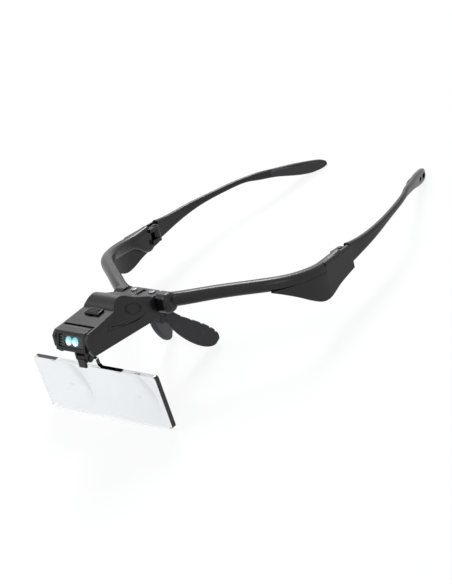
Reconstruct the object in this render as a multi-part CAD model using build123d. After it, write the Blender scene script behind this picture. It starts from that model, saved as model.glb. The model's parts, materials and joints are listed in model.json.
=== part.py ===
from build123d import *
import os
from math import asin, atan2, cos, degrees, hypot, radians, sin, sqrt, tan

# Lighted magnifier glasses, modelled piece by piece in millimetres.
#
# The pieces are laid out as the glasses are worn: +X to the wearer's left, -Y forwards, +Z up,
# temple arms level. At the end everything is pitched and moved so that the glasses lie on a
# table, on the lens plate and the two temple tips, with the origin under the middle of the
# whole. The pieces on the +X side are drawn and the others mirrored.

# Clearances
seat_gap = 0.04        # between two pieces fixed together
running_gap = 0.05     # radial, shaft in a hole
moving_gap = 0.3       # between pieces that move past each other
overrun = 30.0         # how far a cutting tool passes the piece it cuts

# Brow frame
brow_middle_y = -31.5
brow_middle_z = -1.7
brow_depth = 7.2
brow_height = 7.4
brow_corner = 2.9
brow_flat_half = 0.2
brow_radius = 49.0
brow_sweep = 34.2      # degrees between the forehead line and each slanting run
wrap_radius = 38.0
wrap_straight = 0.6
temple_centre_x = 72.7
brow_rise = 1.5        # the bar's centre line rises this much over each eye
wrap_drop = 1.4        # and falls this much where it wraps back

# Hub in the middle of the brow frame
hub_half_width = 20.6
saddle_half_width = 12.3
hub_depth = 9.6
hub_top = 5.6          # above the bar's centre line
hub_bottom = 3.4       # below it
hub_round = 4.0
saddle_top = 1.1       # above the bar's centre line
dock_post_radius = 2.4

# Side pieces
side_wall = 2.4
side_drop = 17.0       # lowest point below the bar's centre line
side_length = 52.6     # along Y, from its front edge to the arm
side_front_y = -2.2
side_block_length = 14.6
side_block_share = 0.9
side_tenon_length = 6.0
side_tenon_width = 3.0
side_tenon_height = 3.2
side_screw_setback = 3.2
side_round = 1.1
skin_round = 1.7       # top outer edge behind the bar
skin_end_inset = 1.3   # the skin's rear end lies this much inside its widest place

# Temple hinges
hinge_setback = 2.9    # pin axis in front of the arm's root
knuckle_radius = 2.3
knuckle_height = 4.6
knuckle_middle_z = -4.4
outer_knuckle_height = 2.2
hinge_pin_radius = 0.8
hinge_pin_head_radius = 1.3
hinge_pin_head_height = 0.4

# Temple arms
arm_run = 109.0        # along Y, from root to tip
arm_bow = 35.5         # how far the tip curves inwards
arm_top = 2.9
arm_drop = 9.4
arm_thickness = 4.6
arm_root_inset = 0.5   # arm's centre line inwards of the bar's
window_long = 7.2
window_short = 4.0
window_height = 2.6
tip_window_setback = 7.4
tip_window_pitch = 7.6
tip_pad_thickness = 1.0
tip_pad_proud = 0.4

# Screws
small_screw_radius = 0.8
small_screw_head_radius = 1.4
small_screw_head = 0.9
dock_screw_radius = 0.9
dock_screw_head_radius = 1.9
dock_screw_head = 1.1
dock_screw_length = 6.0
dock_screw_x = 6.7
dock_screw_sink = 0.5
slot_width = 0.4
slot_depth = 0.4

# Nose bracket and saddle
bracket_width = 13.0
bracket_depth = 3.0
bracket_height = 9.5
bracket_foot_height = 2.4
bracket_foot_depth = 6.4
bracket_reach = 6.5    # rear face behind the bar's centre line
nose_screw_length = 5.2
saddle_wall = 1.6
wing_length = 23.8
wing_spread = 12.2
wing_sweep = 21.0
wing_width = 11.8
wing_thickness = 3.4
wing_toe_out = 24.0
wing_notch_count = 5
wing_notch_radius = 1.1

# Lamp housing
lamp_length = 50.2
lamp_half_width = 13.3
lamp_drop = 6.7        # floor below the bar's centre line
lamp_wall = 1.4
lamp_shoulder = 4.4    # top of the upright side wall above the bar's centre line
roof_half_width = 9.4
hood_top = 13.9        # above the bar's centre line
hood_length = 27.0
deck_rise = 6.6        # front of the deck above the bar's centre line
deck_angle = 9.0
cheek_length = 8.2
cheek_thickness = 2.2
cheek_chin = 2.2
flank_round = 2.6
flank_groove_depth = 0.5
flank_groove_width = 0.9
floor_thickness = 1.2
hub_clearance = 0.3

# Dock
dock_thickness = 1.6
dock_top = 4.7         # above the bar's centre line
dock_half_width = 11.7
dock_plug_depth = 4.2
dock_groove_half = 1.6
dock_groove_depth = 0.7
dock_reach = 3.4       # rear edge behind the bar's centre line

# Housing screws
housing_screw_x = 9.2
housing_screw_length = 8.0
housing_screw_radius = 0.85
housing_screw_head_radius = 1.5
housing_screw_head = 0.8
housing_boss_radius = 2.2
front_screw_setback = 18.2

# Button cells and their contacts
cell_radius = 5.8
cell_thickness = 3.05
cell_gap = 0.03
cell_count = 3
contact_thickness = 0.4
contact_leaf_rise = 1.7
foot_length = 2.0
cell_setback = 21.4    # cells' axis in front of the lamp's rear
cell_clearance = 0.35

# Battery cover
cover_half_width = 7.2
cover_length = 15.0
cover_thickness = 1.0
cover_gap = 0.12
rail_width = 1.5
rail_lip = 1.0
rail_thickness = 0.9
cover_rib_height = 0.5
cover_rib_pitch = 1.6
cover_rib_count = 4
cover_rib_width = 0.6

# Switch
switch_width = 10.6
switch_depth = 5.2
switch_height = 1.2
switch_travel = 2.5
switch_rear_gap = 0.5
switch_rib_count = 4
switch_rib_width = 0.5
switch_rib_height = 0.35
switch_stem_width = 2.0
switch_stem_depth = 1.4
switch_stem_length = 3.2
switch_body_width = 7.0
switch_body_depth = 6.4
switch_body_height = 2.4
switch_body_wall = 0.6

# Circuit board and strips
board_width = 13.4
board_length = 7.4
board_thickness = 0.8
board_rise = 2.6
board_gap = 2.2
strip_width = 2.6
strip_thickness = 0.4
chip_width = 2.2
chip_height = 0.9

# Lamp head
head_axis_setback = 6.0
head_axis_rise = 0.7   # above the bar's centre line
head_radius = 5.95
head_bay_gap = 0.3
deck_lip = 3.0         # the deck's front edge behind the head's axis
head_side_gap = 0.3
head_nose = 7.5        # foremost point before the axis
head_top = 5.4
head_bottom = 4.9
head_top_nose = 4.4
head_chin = 4.4
head_round = 1.0
head_tilt_down = 10.0  # how far the head turns down, in degrees
axle_radius = 1.2
axle_in_cheek = 1.5
axle_in_head = 1.4
recess_half_width = 9.0
recess_half_height = 3.3
recess_depth = 4.8
led_radius = 2.3
led_pitch = 4.9
led_flange_radius = 2.42
led_flange_height = 0.8
led_proud = 1.4
reflector_depth = 3.2
reflector_back = 1.2
reflector_rib_count = 4
reflector_rib_pitch = 1.4
reflector_rib_width = 0.5
reflector_rib_height = 0.8
led_board_thickness = 0.8

# Lens plate
lens_half_width = 46.1
lens_taper = 0.3
lens_height = 30.9
lens_belly = 1.1       # bottom edge sags between its ends
lens_thickness = 2.8
lens_lean = 6.9
lens_corner = 1.4
zone_radius = 130.0    # curvature of each optical zone
zone_half_width = 17.5
zone_setback = 21.0    # plate's side edge to the middle of a zone
zone_overlap = 1.0     # how far a zone's root runs on inside the plate
zone_edge_height = 0.5
tongue_half_width = 4.6
tongue_length = 5.2
tongue_thickness = 2.2
tongue_root = 1.6
neck_half_width = 1.6
neck_length = 4.2

# Lens holder
holder_pin_setback = 6.4
holder_pin_drop = 3.9
holder_pin_radius = 0.9
holder_pin_head = 0.5
holder_barrel_radius = 2.3
holder_half_width = 2.9
holder_jaw_wall = 1.2
holder_jaw_height = 4.1
lug_thickness = 1.3
lug_radius = 2.2
latch_half_width = 2.6
latch_thickness = 1.3
latch_length = 4.6
plate_setback = 3.0    # plate's top edge behind the pin
plate_drop = 7.0       # plate's top edge below the pin

# Rest of the glasses on a table
tip_flat = 0.35        # how much the tips' underside is flattened

# Derived places of the brow frame's centre line
sweep = radians(brow_sweep)
first_bend_end_x = brow_flat_half + brow_radius * sin(sweep)
first_bend_end_y = brow_middle_y + brow_radius * (1 - cos(sweep))
wrap_start_x = temple_centre_x - wrap_radius * (1 - sin(sweep))
wrap_centre_x = temple_centre_x - wrap_radius
wrap_centre_y = first_bend_end_y + tan(sweep) * (wrap_start_x - first_bend_end_x) + wrap_radius * cos(sweep)
wrap_end_y = wrap_centre_y + wrap_straight
wrap_end_z = brow_middle_z - wrap_drop
saddle_z = brow_middle_z + saddle_top

# Derived places of the lamp
hub_front_y = brow_middle_y - hub_depth / 2
lamp_rear_y = hub_front_y - hub_clearance
lamp_front_y = lamp_rear_y - lamp_length
lamp_floor_z = brow_middle_z - lamp_drop
floor_top_z = lamp_floor_z + floor_thickness
deck_front_y = lamp_front_y + cheek_length
deck_front_z = brow_middle_z + deck_rise
hood_front_y = lamp_rear_y - hood_length
deck_rear_z = deck_front_z + (hood_front_y - deck_front_y) * tan(radians(deck_angle))
hood_z = brow_middle_z + hood_top
dock_top_z = brow_middle_z + dock_top
dock_front_y = brow_middle_y - brow_depth / 2 - dock_plug_depth
head_y = lamp_front_y + head_axis_setback
head_z = brow_middle_z + head_axis_rise
bay_half_width = lamp_half_width - cheek_thickness
head_half_width = bay_half_width - head_side_gap
bulkhead_y = head_y + head_radius + head_bay_gap + lamp_wall
cell_y = lamp_rear_y - cell_setback
cell_z = floor_top_z + cell_clearance + cell_radius

# Derived places of the lens
pin_y = lamp_front_y + holder_pin_setback
pin_z = lamp_floor_z - holder_pin_drop
lean = radians(lens_lean)
lens_plane = Plane(
    origin=(0, pin_y + plate_setback, pin_z - plate_drop),
    x_dir=(1, 0, 0),
    z_dir=(0, -cos(lean), -sin(lean)),
)

# Derived places of the temple hinge
arm_root_y = side_front_y + side_length
arm_root_x = temple_centre_x - arm_root_inset
hinge_x = temple_centre_x + brow_depth / 2 - skin_end_inset - side_wall - moving_gap - knuckle_radius
hinge_y = arm_root_y - hinge_setback


def block(low, high):
    """A box between two corners."""
    size = [high[i] - low[i] for i in range(3)]
    middle = [(high[i] + low[i]) / 2 for i in range(3)]
    return Pos(*middle) * Box(*size)


def upright(x, y, low, high, radius):
    """A cylinder along Z between two heights."""
    return Pos(x, y, (low + high) / 2) * Cylinder(radius, high - low)


def crosswise(y, z, low, high, radius):
    """A cylinder along X between two places."""
    return Pos((low + high) / 2, y, z) * Rot(0, 90, 0) * Cylinder(radius, high - low)


def lengthwise(x, z, low, high, radius):
    """A cylinder along Y between two places."""
    return Pos(x, (low + high) / 2, z) * Rot(90, 0, 0) * Cylinder(radius, high - low)


def sideways(points, half_width):
    """A plate with its outline in the YZ plane, as wide as twice half_width."""
    outline = Plane.YZ * make_face(Polyline(*points, close=True))
    return extrude(outline, amount=half_width, both=True)


def flipped(shape):
    """The same shape on the other side of the nose."""
    return mirror(shape, about=Plane.YZ)


def rounded(shape, edges, radius):
    """The shape with the chosen edges rounded."""
    return fillet(edges, radius)


def brow_stations():
    """Places and headings along the left half of the brow frame's centre line."""
    places = []
    bend_shares = (0, 0.33, 0.66, 1)
    for share in bend_shares:
        turn = sweep * share
        x = brow_flat_half + brow_radius * sin(turn)
        places.append((x, brow_middle_y + brow_radius * (1 - cos(turn)), turn))
    places[0] = (0, brow_middle_y, 0)
    run_shares = (0.5,)
    for share in run_shares:
        x = first_bend_end_x + (wrap_start_x - first_bend_end_x) * share
        places.append((x, first_bend_end_y + tan(sweep) * (x - first_bend_end_x), sweep))
    wrap_shares = (0, 0.3, 0.6, 0.85, 1)
    for share in wrap_shares:
        turn = sweep + (radians(90) - sweep) * share
        x = wrap_centre_x + wrap_radius * sin(turn)
        places.append((x, wrap_centre_y - wrap_radius * cos(turn), turn))
    places.append((temple_centre_x, wrap_end_y, radians(90)))
    return places


def brow_bar():
    """The left half of the bar, lofted through rounded sections."""
    rise_shares = (0, 0.2, 0.5, 0.8, 1, 0.8, 0.45, 0.1, 0, 0, 0)
    drop_shares = (0, 0, 0, 0, 0, 0, 0.15, 0.5, 0.85, 1, 1)
    height_shares = (1, 1, 1, 0.98, 0.94, 0.94, 0.96, 0.98, 1, 1, 1)
    sections = []
    for (x, y, turn), rise, drop, tall in zip(brow_stations(), rise_shares, drop_shares, height_shares):
        z = brow_middle_z + brow_rise * rise - wrap_drop * drop
        along = (cos(turn), sin(turn), 0)
        across = (sin(turn), -cos(turn), 0)
        plane = Plane(origin=(x, y, z), x_dir=across, z_dir=along)
        sections.append(plane * RectangleRounded(brow_depth, brow_height * tall, brow_corner))
    return loft(sections)


def side_tenon(gap):
    """The tenon that joins a side piece to the bar's end, grown by a gap."""
    half = side_tenon_width / 2 + gap
    tall = side_tenon_height / 2 + gap
    return block(
        (temple_centre_x - half, wrap_end_y - side_tenon_length - gap, wrap_end_z - tall),
        (temple_centre_x + half, wrap_end_y + side_round, wrap_end_z + tall),
    )


def side_screw(gap):
    """The small screw that holds the tenon, driven from the inner face."""
    y = wrap_end_y - side_screw_setback
    face = temple_centre_x - brow_depth / 2
    head = crosswise(y, wrap_end_z, face, face + small_screw_head + gap, small_screw_head_radius + gap)
    shank = crosswise(y, wrap_end_z, face, temple_centre_x + side_tenon_width / 2, small_screw_radius + gap)
    return head + shank


def hub():
    """The raised hub with its saddle and the two posts under the dock."""
    top = brow_middle_z + hub_top
    bottom = brow_middle_z - hub_bottom - hub_round / 2
    half = hub_depth / 2
    end_share = 0.7
    solid = block(
        (-hub_half_width, brow_middle_y - half, bottom),
        (hub_half_width, brow_middle_y + half, top),
    )
    solid = fillet(solid.edges().filter_by(Axis.X), hub_round)
    solid = fillet(solid.faces().filter_by(Plane.YZ).edges(), hub_round * end_share)
    saddle = block(
        (-saddle_half_width, brow_middle_y - overrun, saddle_z),
        (saddle_half_width, brow_middle_y + overrun, top + overrun),
    )
    return solid - saddle


def brow_frame():
    """The bar across the forehead with its hub, and a tenon at each end for the side pieces."""
    half = brow_bar()
    bar = half + flipped(half)
    slot = block(
        (-saddle_half_width, brow_middle_y - overrun, saddle_z),
        (saddle_half_width, brow_middle_y + overrun / 2, saddle_z + overrun),
    )
    front = block(
        (-saddle_half_width, hub_front_y - overrun, brow_middle_z - overrun),
        (saddle_half_width, brow_middle_y - brow_depth / 2, brow_middle_z + overrun),
    )
    solid = (bar - slot) + (hub() - front)
    for side in (-1, 1):
        post_top = dock_top_z - dock_thickness - seat_gap
        solid += upright(side * dock_screw_x, brow_middle_y, saddle_z - side_round, post_top, dock_post_radius)
        solid -= upright(
            side * dock_screw_x, brow_middle_y, dock_top_z - dock_screw_length, dock_top_z,
            dock_screw_radius + seat_gap,
        )
    for cut in (side_tenon(seat_gap), side_screw(seat_gap)):
        solid -= cut
        solid -= flipped(cut)
    return solid - nose_screw(seat_gap) - bracket_seat()


def bracket_seat():
    """The shallow pocket under the hub that takes the nose bracket's foot."""
    half = bracket_width / 2 + seat_gap
    y = brow_middle_y
    return block(
        (-half, y - bracket_foot_depth / 2 - seat_gap, brow_middle_z - overrun),
        (half, y + bracket_reach + seat_gap, bracket_top_z() + seat_gap),
    )


def bracket_top_z():
    """Height of the nose bracket's seat."""
    return brow_middle_z - hub_bottom


def side_skin():
    """The outer skin of the left side piece, between two curved walls."""
    outer = wrap_radius + brow_depth / 2
    inner = outer - side_wall
    start = degrees(asin((wrap_centre_y - side_front_y) / outer))
    widest = wrap_centre_x + outer
    end_x = widest - skin_end_inset
    end_y = arm_root_y - moving_gap
    outer_arc = CenterArc((wrap_centre_x, wrap_centre_y), outer, -start, start)
    inner_arc = CenterArc((wrap_centre_x, wrap_centre_y), inner, -start, start)
    edges = [
        outer_arc,
        Line(outer_arc @ 1, (end_x, end_y)),
        Line((end_x, end_y), (end_x - side_wall, end_y)),
        Line((end_x - side_wall, end_y), inner_arc @ 1),
        inner_arc,
        Line(inner_arc @ 0, outer_arc @ 0),
    ]
    plan = make_face(edges)
    walls = extrude(plan, amount=overrun, both=True)
    skin = walls & side_outline()
    rear_edges = skin.edges().filter_by(
        lambda e: e.center().Z > brow_middle_z + arm_top / 2 and e.center().Y > wrap_end_y + side_round
    )
    return fillet([rear_edges.sort_by(Axis.X)[-1]], skin_round)


def side_outline():
    """The drop-shaped outline of a side piece, seen from the side."""
    run_shares = (0.13, 0.26, 0.37, 0.48, 0.60, 0.72, 0.86)
    drop_shares = (0.38, 0.64, 0.87, 1.0, 0.95, 0.80, 0.68)
    start_share = 0.155
    end_share = 0.58
    edge_top_share = 0.12
    z = brow_middle_z
    low = [(side_front_y, z - side_drop * start_share)]
    for run, drop in zip(run_shares, drop_shares):
        low.append((side_front_y + side_length * run, z - side_drop * drop))
    low.append((arm_root_y, z - side_drop * end_share))
    bottom = Spline(*low)
    step_y = wrap_end_y + seat_gap
    top_front = z - side_drop * edge_top_share
    top_rear = wrap_end_z + brow_height / 2
    rear_top = z + arm_top
    edges = [
        bottom,
        Line(bottom @ 1, (arm_root_y, rear_top)),
        Line((arm_root_y, rear_top), (step_y, top_rear)),
        Line((step_y, top_rear), (step_y, top_front)),
        Line((step_y, top_front), (side_front_y, top_front)),
        Line((side_front_y, top_front), bottom @ 0),
    ]
    face = Plane.YZ * make_face(edges)
    return extrude(face, amount=temple_centre_x + overrun)


def hinge_knuckles():
    """The two knuckles of the side piece and the web that carries them."""
    low = knuckle_middle_z - knuckle_height / 2 - moving_gap / 2
    high = knuckle_middle_z + knuckle_height / 2 + moving_gap / 2
    solid = None
    front = wrap_end_y + side_block_length - side_round
    for bottom, top in ((low - outer_knuckle_height, low), (high, high + outer_knuckle_height)):
        knuckle = upright(hinge_x, hinge_y, bottom, top, knuckle_radius)
        web = block((hinge_x - knuckle_radius, front, bottom), (hinge_x + knuckle_radius, hinge_y, top))
        solid = knuckle + web if solid is None else solid + knuckle + web
    return solid


def side_core():
    """The solid core behind the bar, which starts with the bar's own section."""
    run_shares = (0, 0.35, 0.75, 1)
    depth_shares = (1, 0.98, 0.88, 0.8)
    height_shares = (1, 1.4, 1.93, 1.9)
    top_shares = (0, 0.03, 0.09, 0.13)
    sections = []
    outer = temple_centre_x + brow_depth / 2
    top = wrap_end_z + brow_height / 2
    for run, deep, tall, rise in zip(run_shares, depth_shares, height_shares, top_shares):
        depth = brow_depth * deep
        height = brow_height * tall
        x = outer - skin_end_inset * run * side_block_share - depth / 2
        z = top + brow_height * rise - height / 2
        y = wrap_end_y + seat_gap + side_block_length * run
        plane = Plane(origin=(x, y, z), x_dir=(1, 0, 0), z_dir=(0, 1, 0))
        corner_share = 0.4
        sections.append(plane * RectangleRounded(depth, height, depth * corner_share))
    return loft(sections)


def side_piece():
    """The flared end behind the bar: core, skin and the two outer knuckles of the hinge."""
    solid = (side_skin() - brow_bar()) + side_core() + hinge_knuckles() + side_tenon(0)
    solid -= hinge_pin_bore()
    return solid - side_screw(seat_gap)


def hinge_pin_bore():
    """The hole for the hinge pin."""
    return upright(hinge_x, hinge_y, -overrun, overrun, hinge_pin_radius + seat_gap)


def hinge_pin():
    """The pin through the three knuckles, with a head on top."""
    low = knuckle_middle_z - knuckle_height / 2 - moving_gap / 2 - outer_knuckle_height
    high = knuckle_middle_z + knuckle_height / 2 + moving_gap / 2 + outer_knuckle_height
    head_top = high + seat_gap + hinge_pin_head_height
    pin = upright(hinge_x, hinge_y, low, head_top, hinge_pin_radius)
    return pin + upright(hinge_x, hinge_y, high + seat_gap, head_top, hinge_pin_head_radius)


def arm_stations():
    """Centre, heading, heights and thickness at each station of the left temple arm."""
    run_shares = (0, 0.088, 0.18, 0.272, 0.382, 0.492, 0.602, 0.712, 0.822, 0.914, 0.96, 0.987, 1)
    bow_shares = (0, 0.003, 0.017, 0.056, 0.135, 0.231, 0.363, 0.535, 0.715, 0.862, 0.935, 0.98, 1)
    top_shares = (0.69, 0.34, 0.38, 0.52, 0.67, 0.86, 1.0, 0.86, 0.47, -0.05, -0.41, -0.83, -1.24)
    drop_shares = (1.0, 0.787, 0.564, 0.362, 0.186, 0.085, 0.053, 0.266, 0.59, 0.793, 0.81, 0.75, 0.66)
    thick_shares = (1, 0.91, 0.85, 0.78, 0.76, 0.74, 0.74, 0.78, 0.87, 0.87, 0.78, 0.57, 0.35)
    rows = []
    count = len(run_shares)
    centres = [(arm_root_x - arm_bow * b, arm_root_y + arm_run * r) for b, r in zip(bow_shares, run_shares)]
    for i in range(count):
        before = centres[max(i - 1, 0)]
        after = centres[min(i + 1, count - 1)]
        turn = atan2(after[1] - before[1], after[0] - before[0])
        if i == 0:
            turn = radians(90)
        top = arm_top * top_shares[i]
        bottom = -arm_drop * drop_shares[i]
        rows.append((centres[i], turn, top, bottom, arm_thickness * thick_shares[i]))
    return rows


def arm_section(row, inwards, thickness, height_share):
    """One rounded section of the arm, moved inwards from its centre line."""
    (x, y), turn, top, bottom, _ = row
    across = (sin(turn), -cos(turn), 0)
    along = (cos(turn), sin(turn), 0)
    origin = (x - across[0] * inwards, y - across[1] * inwards, (top + bottom) / 2)
    plane = Plane(origin=origin, x_dir=across, z_dir=along)
    height = (top - bottom) * height_share
    corner_share = 0.42
    return plane * RectangleRounded(thickness, height, min(thickness, height) * corner_share)


def arm_body():
    """The arm, lofted along its bowed centre line."""
    sections = [arm_section(row, 0, row[4], 1) for row in arm_stations()]
    return loft(sections)


def tip_frame(setback):
    """A plane on the arm's centre line at a distance before the tip, facing outwards."""
    rows = arm_stations()
    y = arm_root_y + arm_run - setback
    for first, second in zip(rows, rows[1:]):
        if first[0][1] <= y <= second[0][1]:
            share = (y - first[0][1]) / (second[0][1] - first[0][1])
            x = first[0][0] + (second[0][0] - first[0][0]) * share
            turn = atan2(second[0][1] - first[0][1], second[0][0] - first[0][0])
            top = first[2] + (second[2] - first[2]) * share
            bottom = first[3] + (second[3] - first[3]) * share
            middle = (top + bottom) / 2
            return Plane(origin=(x, y, middle), x_dir=(cos(turn), sin(turn), 0), z_dir=(sin(turn), -cos(turn), 0))
    raise ValueError("the setback lies outside the arm")


def tip_windows():
    """The two oval windows through the tip."""
    large = tip_frame(tip_window_setback)
    small = tip_frame(tip_window_setback + tip_window_pitch)
    small_share = 0.8
    first = extrude(large * SlotOverall(window_long, window_height), amount=arm_thickness, both=True)
    second = extrude(
        small * SlotOverall(window_short, window_height * small_share), amount=arm_thickness, both=True
    )
    return first + second


def temple():
    """The arm with its middle knuckle, its tip's windows and the flat that it rests on."""
    low = knuckle_middle_z - knuckle_height / 2 + moving_gap / 2
    high = knuckle_middle_z + knuckle_height / 2 - moving_gap / 2
    knuckle = upright(hinge_x, hinge_y, low, high, knuckle_radius)
    web = block(
        (arm_root_x - arm_thickness / 2, hinge_y, low),
        (hinge_x + knuckle_radius, arm_root_y + side_round, high),
    )
    solid = arm_body() - tip_windows() - temple_pad() + knuckle + web
    return solid - upright(hinge_x, hinge_y, -overrun, overrun, hinge_pin_radius + running_gap)


def temple_pad():
    """The soft pad set into the inner face of the tip."""
    rows = arm_stations()
    pad_rows = rows[-6:-1]
    width_shares = (0.5, 0.70, 0.74, 0.72, 0.6)
    sections = []
    for row, share in zip(pad_rows, width_shares):
        inwards = row[4] / 2 + tip_pad_proud - tip_pad_thickness / 2
        sections.append(arm_section(row, inwards, tip_pad_thickness, share))
    return loft(sections)


def nose_screw(gap):
    """The screw that holds the nose bracket, driven from below."""
    seat = bracket_top_z() - bracket_foot_height
    head = upright(0, brow_middle_y, seat, seat + small_screw_head + gap, small_screw_head_radius + gap)
    return head + upright(0, brow_middle_y, seat, seat + nose_screw_length, small_screw_radius + gap)


def nose_bracket():
    """The plate under the hub that carries the saddle."""
    half = bracket_width / 2
    top = bracket_top_z()
    foot_front = brow_middle_y - bracket_foot_depth / 2
    rear = brow_middle_y + bracket_reach
    foot = block((-half, foot_front, top - bracket_foot_height), (half, rear, top))
    foot = fillet(foot.edges().filter_by(Axis.Z), side_round)
    plate = block(
        (-half + saddle_wall, rear - bracket_depth, top - bracket_height),
        (half - saddle_wall, rear, top - bracket_foot_height / 2),
    )
    return foot + plate - nose_screw(seat_gap)


def wing_stations():
    """Centre line of the left wing of the nose saddle, with width and thickness."""
    length_shares = (0, 0.2, 0.44, 0.68, 0.87, 0.96, 1)
    spread_shares = (0.0, 0.20, 0.42, 0.65, 0.86, 0.96, 1)
    sweep_shares = (0, 0.14, 0.34, 0.60, 0.84, 0.96, 1)
    width_shares = (0.52, 0.66, 0.88, 1.0, 0.88, 0.6, 0.32)
    thick_shares = (1, 1, 0.96, 0.92, 0.86, 0.7, 0.4)
    start = saddle_root()
    rows = []
    for i, share in enumerate(length_shares):
        centre = (
            start[0] + wing_spread * spread_shares[i],
            start[1] + wing_sweep * sweep_shares[i],
            start[2] - wing_length * share,
        )
        rows.append((centre, wing_width * width_shares[i], wing_thickness * thick_shares[i]))
    return rows


def saddle_root():
    """Where the left wing leaves the saddle's middle."""
    rear = brow_middle_y + bracket_reach
    return (
        bracket_width / 2 - wing_thickness / 3,
        rear - bracket_depth / 4,
        bracket_top_z() - bracket_foot_height * 3,
    )


def wing_planes():
    """The section plane at each station, X across the wing's thickness, Y to its rear edge."""
    rows = wing_stations()
    planes = []
    count = len(rows)
    toe_out = radians(wing_toe_out)
    for i, (centre, width, thick) in enumerate(rows):
        before = Vector(rows[max(i - 1, 0)][0])
        after = Vector(rows[min(i + 1, count - 1)][0])
        along = (after - before).normalized()
        across = Vector(cos(toe_out), -sin(toe_out), 0)
        across = (across - along * across.dot(along)).normalized()
        planes.append(Plane(origin=centre, x_dir=across, z_dir=along))
    return planes


def nose_wing():
    """The left wing, a leaf with a notched rear edge."""
    sections = []
    for plane, (_, width, thick) in zip(wing_planes(), wing_stations()):
        corner_share = 0.44
        sections.append(plane * RectangleRounded(thick, width, min(thick, width) * corner_share))
    wing = loft(sections)
    planes = wing_planes()
    rows = wing_stations()
    first_share = 0.22
    last_share = 0.74
    for n in range(wing_notch_count):
        share = first_share + (last_share - first_share) * n / (wing_notch_count - 1)
        place = share * (len(rows) - 1)
        i = int(place)
        part = place - i
        width = rows[i][1] + (rows[i + 1][1] - rows[i][1]) * part
        edge = rear_edge(planes[i], rows[i][1]) * (1 - part) + rear_edge(planes[i + 1], rows[i + 1][1]) * part
        out = planes[i].y_dir * (rear_sign(planes[i]) * wing_notch_radius / 2)
        across = planes[i].x_dir
        notch_plane = Plane(origin=edge + out, z_dir=across)
        wing -= notch_plane * Cylinder(wing_notch_radius, width)
    return wing


def rear_sign(plane):
    """Which way along the section's Y axis its rear edge lies."""
    return 1 if plane.y_dir.Y > 0 else -1


def rear_edge(plane, width):
    """The middle of a section's rear edge."""
    return plane.origin + plane.y_dir * (rear_sign(plane) * width / 2)


def nose_saddle():
    """The soft saddle with its two wings."""
    rear = brow_middle_y + bracket_reach
    half = bracket_width / 2
    round_share = 0.9
    low = bracket_top_z() - bracket_height
    top = bracket_top_z() - bracket_foot_height - seat_gap
    cap = block(
        (-half, rear - bracket_depth - saddle_wall, low - saddle_wall),
        (half, rear + saddle_wall, top),
    )
    cap = fillet(cap.edges().filter_by(Axis.Z), saddle_wall * round_share)
    pocket = block(
        (-half + saddle_wall - seat_gap, rear - bracket_depth - seat_gap, low - seat_gap),
        (half - saddle_wall + seat_gap, rear + seat_gap, top + overrun),
    )
    wing = nose_wing()
    return cap + wing + flipped(wing) - pocket


def hood_curve(shrink):
    """The points of the hood's outline, taken in by shrink square to it."""
    hood_run_shares = (0.10, 0.25, 0.47, 0.63, 0.80, 0.93)
    hood_rise_shares = (0.78, 1.0, 0.72, 0.42, 0.19, 0.02)
    hood_end_z = dock_top_z + lamp_wall
    curve = [(hood_front_y, deck_rear_z)]
    for run, rise in zip(hood_run_shares, hood_rise_shares):
        curve.append((hood_front_y + hood_length * run, hood_end_z + (hood_z - hood_end_z) * rise))
    last = len(curve) - 1
    moved = [(hood_front_y + shrink, deck_rear_z - shrink / 2)]
    for i in range(1, last + 1):
        before = curve[i - 1]
        after = curve[min(i + 1, last)]
        length = hypot(after[0] - before[0], after[1] - before[1])
        moved.append((
            curve[i][0] + shrink * (after[1] - before[1]) / length,
            curve[i][1] - shrink * (after[0] - before[0]) / length,
        ))
    return moved


def lamp_side_face(shrink):
    """The lamp's outline seen from the side, taken in on all sides by shrink."""
    shoulder_z = deck_front_z - lamp_wall / 2
    brow_share = 1.3
    hood = Spline(*hood_curve(shrink))
    floor_z = lamp_floor_z + shrink
    front_y = lamp_front_y + shrink
    points = [
        hood @ 1,
        (lamp_rear_y - shrink, dock_top_z - shrink),
        (lamp_rear_y - shrink, floor_z),
        (front_y + cheek_chin, floor_z),
        (front_y, floor_z + cheek_chin * 2),
        (front_y, shoulder_z - cheek_chin * brow_share - shrink),
        (front_y + cheek_chin, shoulder_z - shrink),
        (deck_front_y, deck_front_z - shrink),
    ]
    if shrink:
        points.append((hood_front_y + shrink / 2, deck_rear_z - shrink))
    points.append(hood @ 0)
    return make_face([hood, Polyline(*points)])


def flank_groove():
    """The curved groove on the left flank, as a cutting solid."""
    run_shares = (0.345, 0.44, 0.54, 0.64, 0.76, 0.85)
    drop_shares = (0.09, 0.22, 0.34, 0.43, 0.46, 0.38)
    end_share = 0.25
    shoulder = brow_middle_z + lamp_shoulder
    deep = shoulder - lamp_floor_z
    upper = [(lamp_front_y + lamp_length * r, shoulder - deep * d) for r, d in zip(run_shares, drop_shares)]
    lower = []
    last = len(upper) - 1
    for i, (y, z) in enumerate(upper):
        swell = end_share + 1 - abs(2 * i / last - 1)
        lower.append((y, z - flank_groove_width * swell))
    over = Spline(*upper)
    under = Spline(*reversed(lower))
    crescent = make_face([over, Line(over @ 1, under @ 0), under, Line(under @ 1, over @ 0)])
    return extrude(Plane.YZ * Pos(0, 0, lamp_half_width - flank_groove_depth) * crescent, amount=overrun)


def lamp_front_face(shrink):
    """The lamp's outline seen from the front: upright sides and slanting flanks."""
    shoulder = brow_middle_z + lamp_shoulder - shrink / 2
    wide = lamp_half_width - shrink
    narrow = roof_half_width - shrink
    top = hood_z + lamp_wall / 2
    low = lamp_floor_z + shrink
    return make_face(Polyline(
        (-wide, low),
        (wide, low),
        (wide, shoulder),
        (narrow, top),
        (-narrow, top),
        (-wide, shoulder),
        close=True,
    ))


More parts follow.
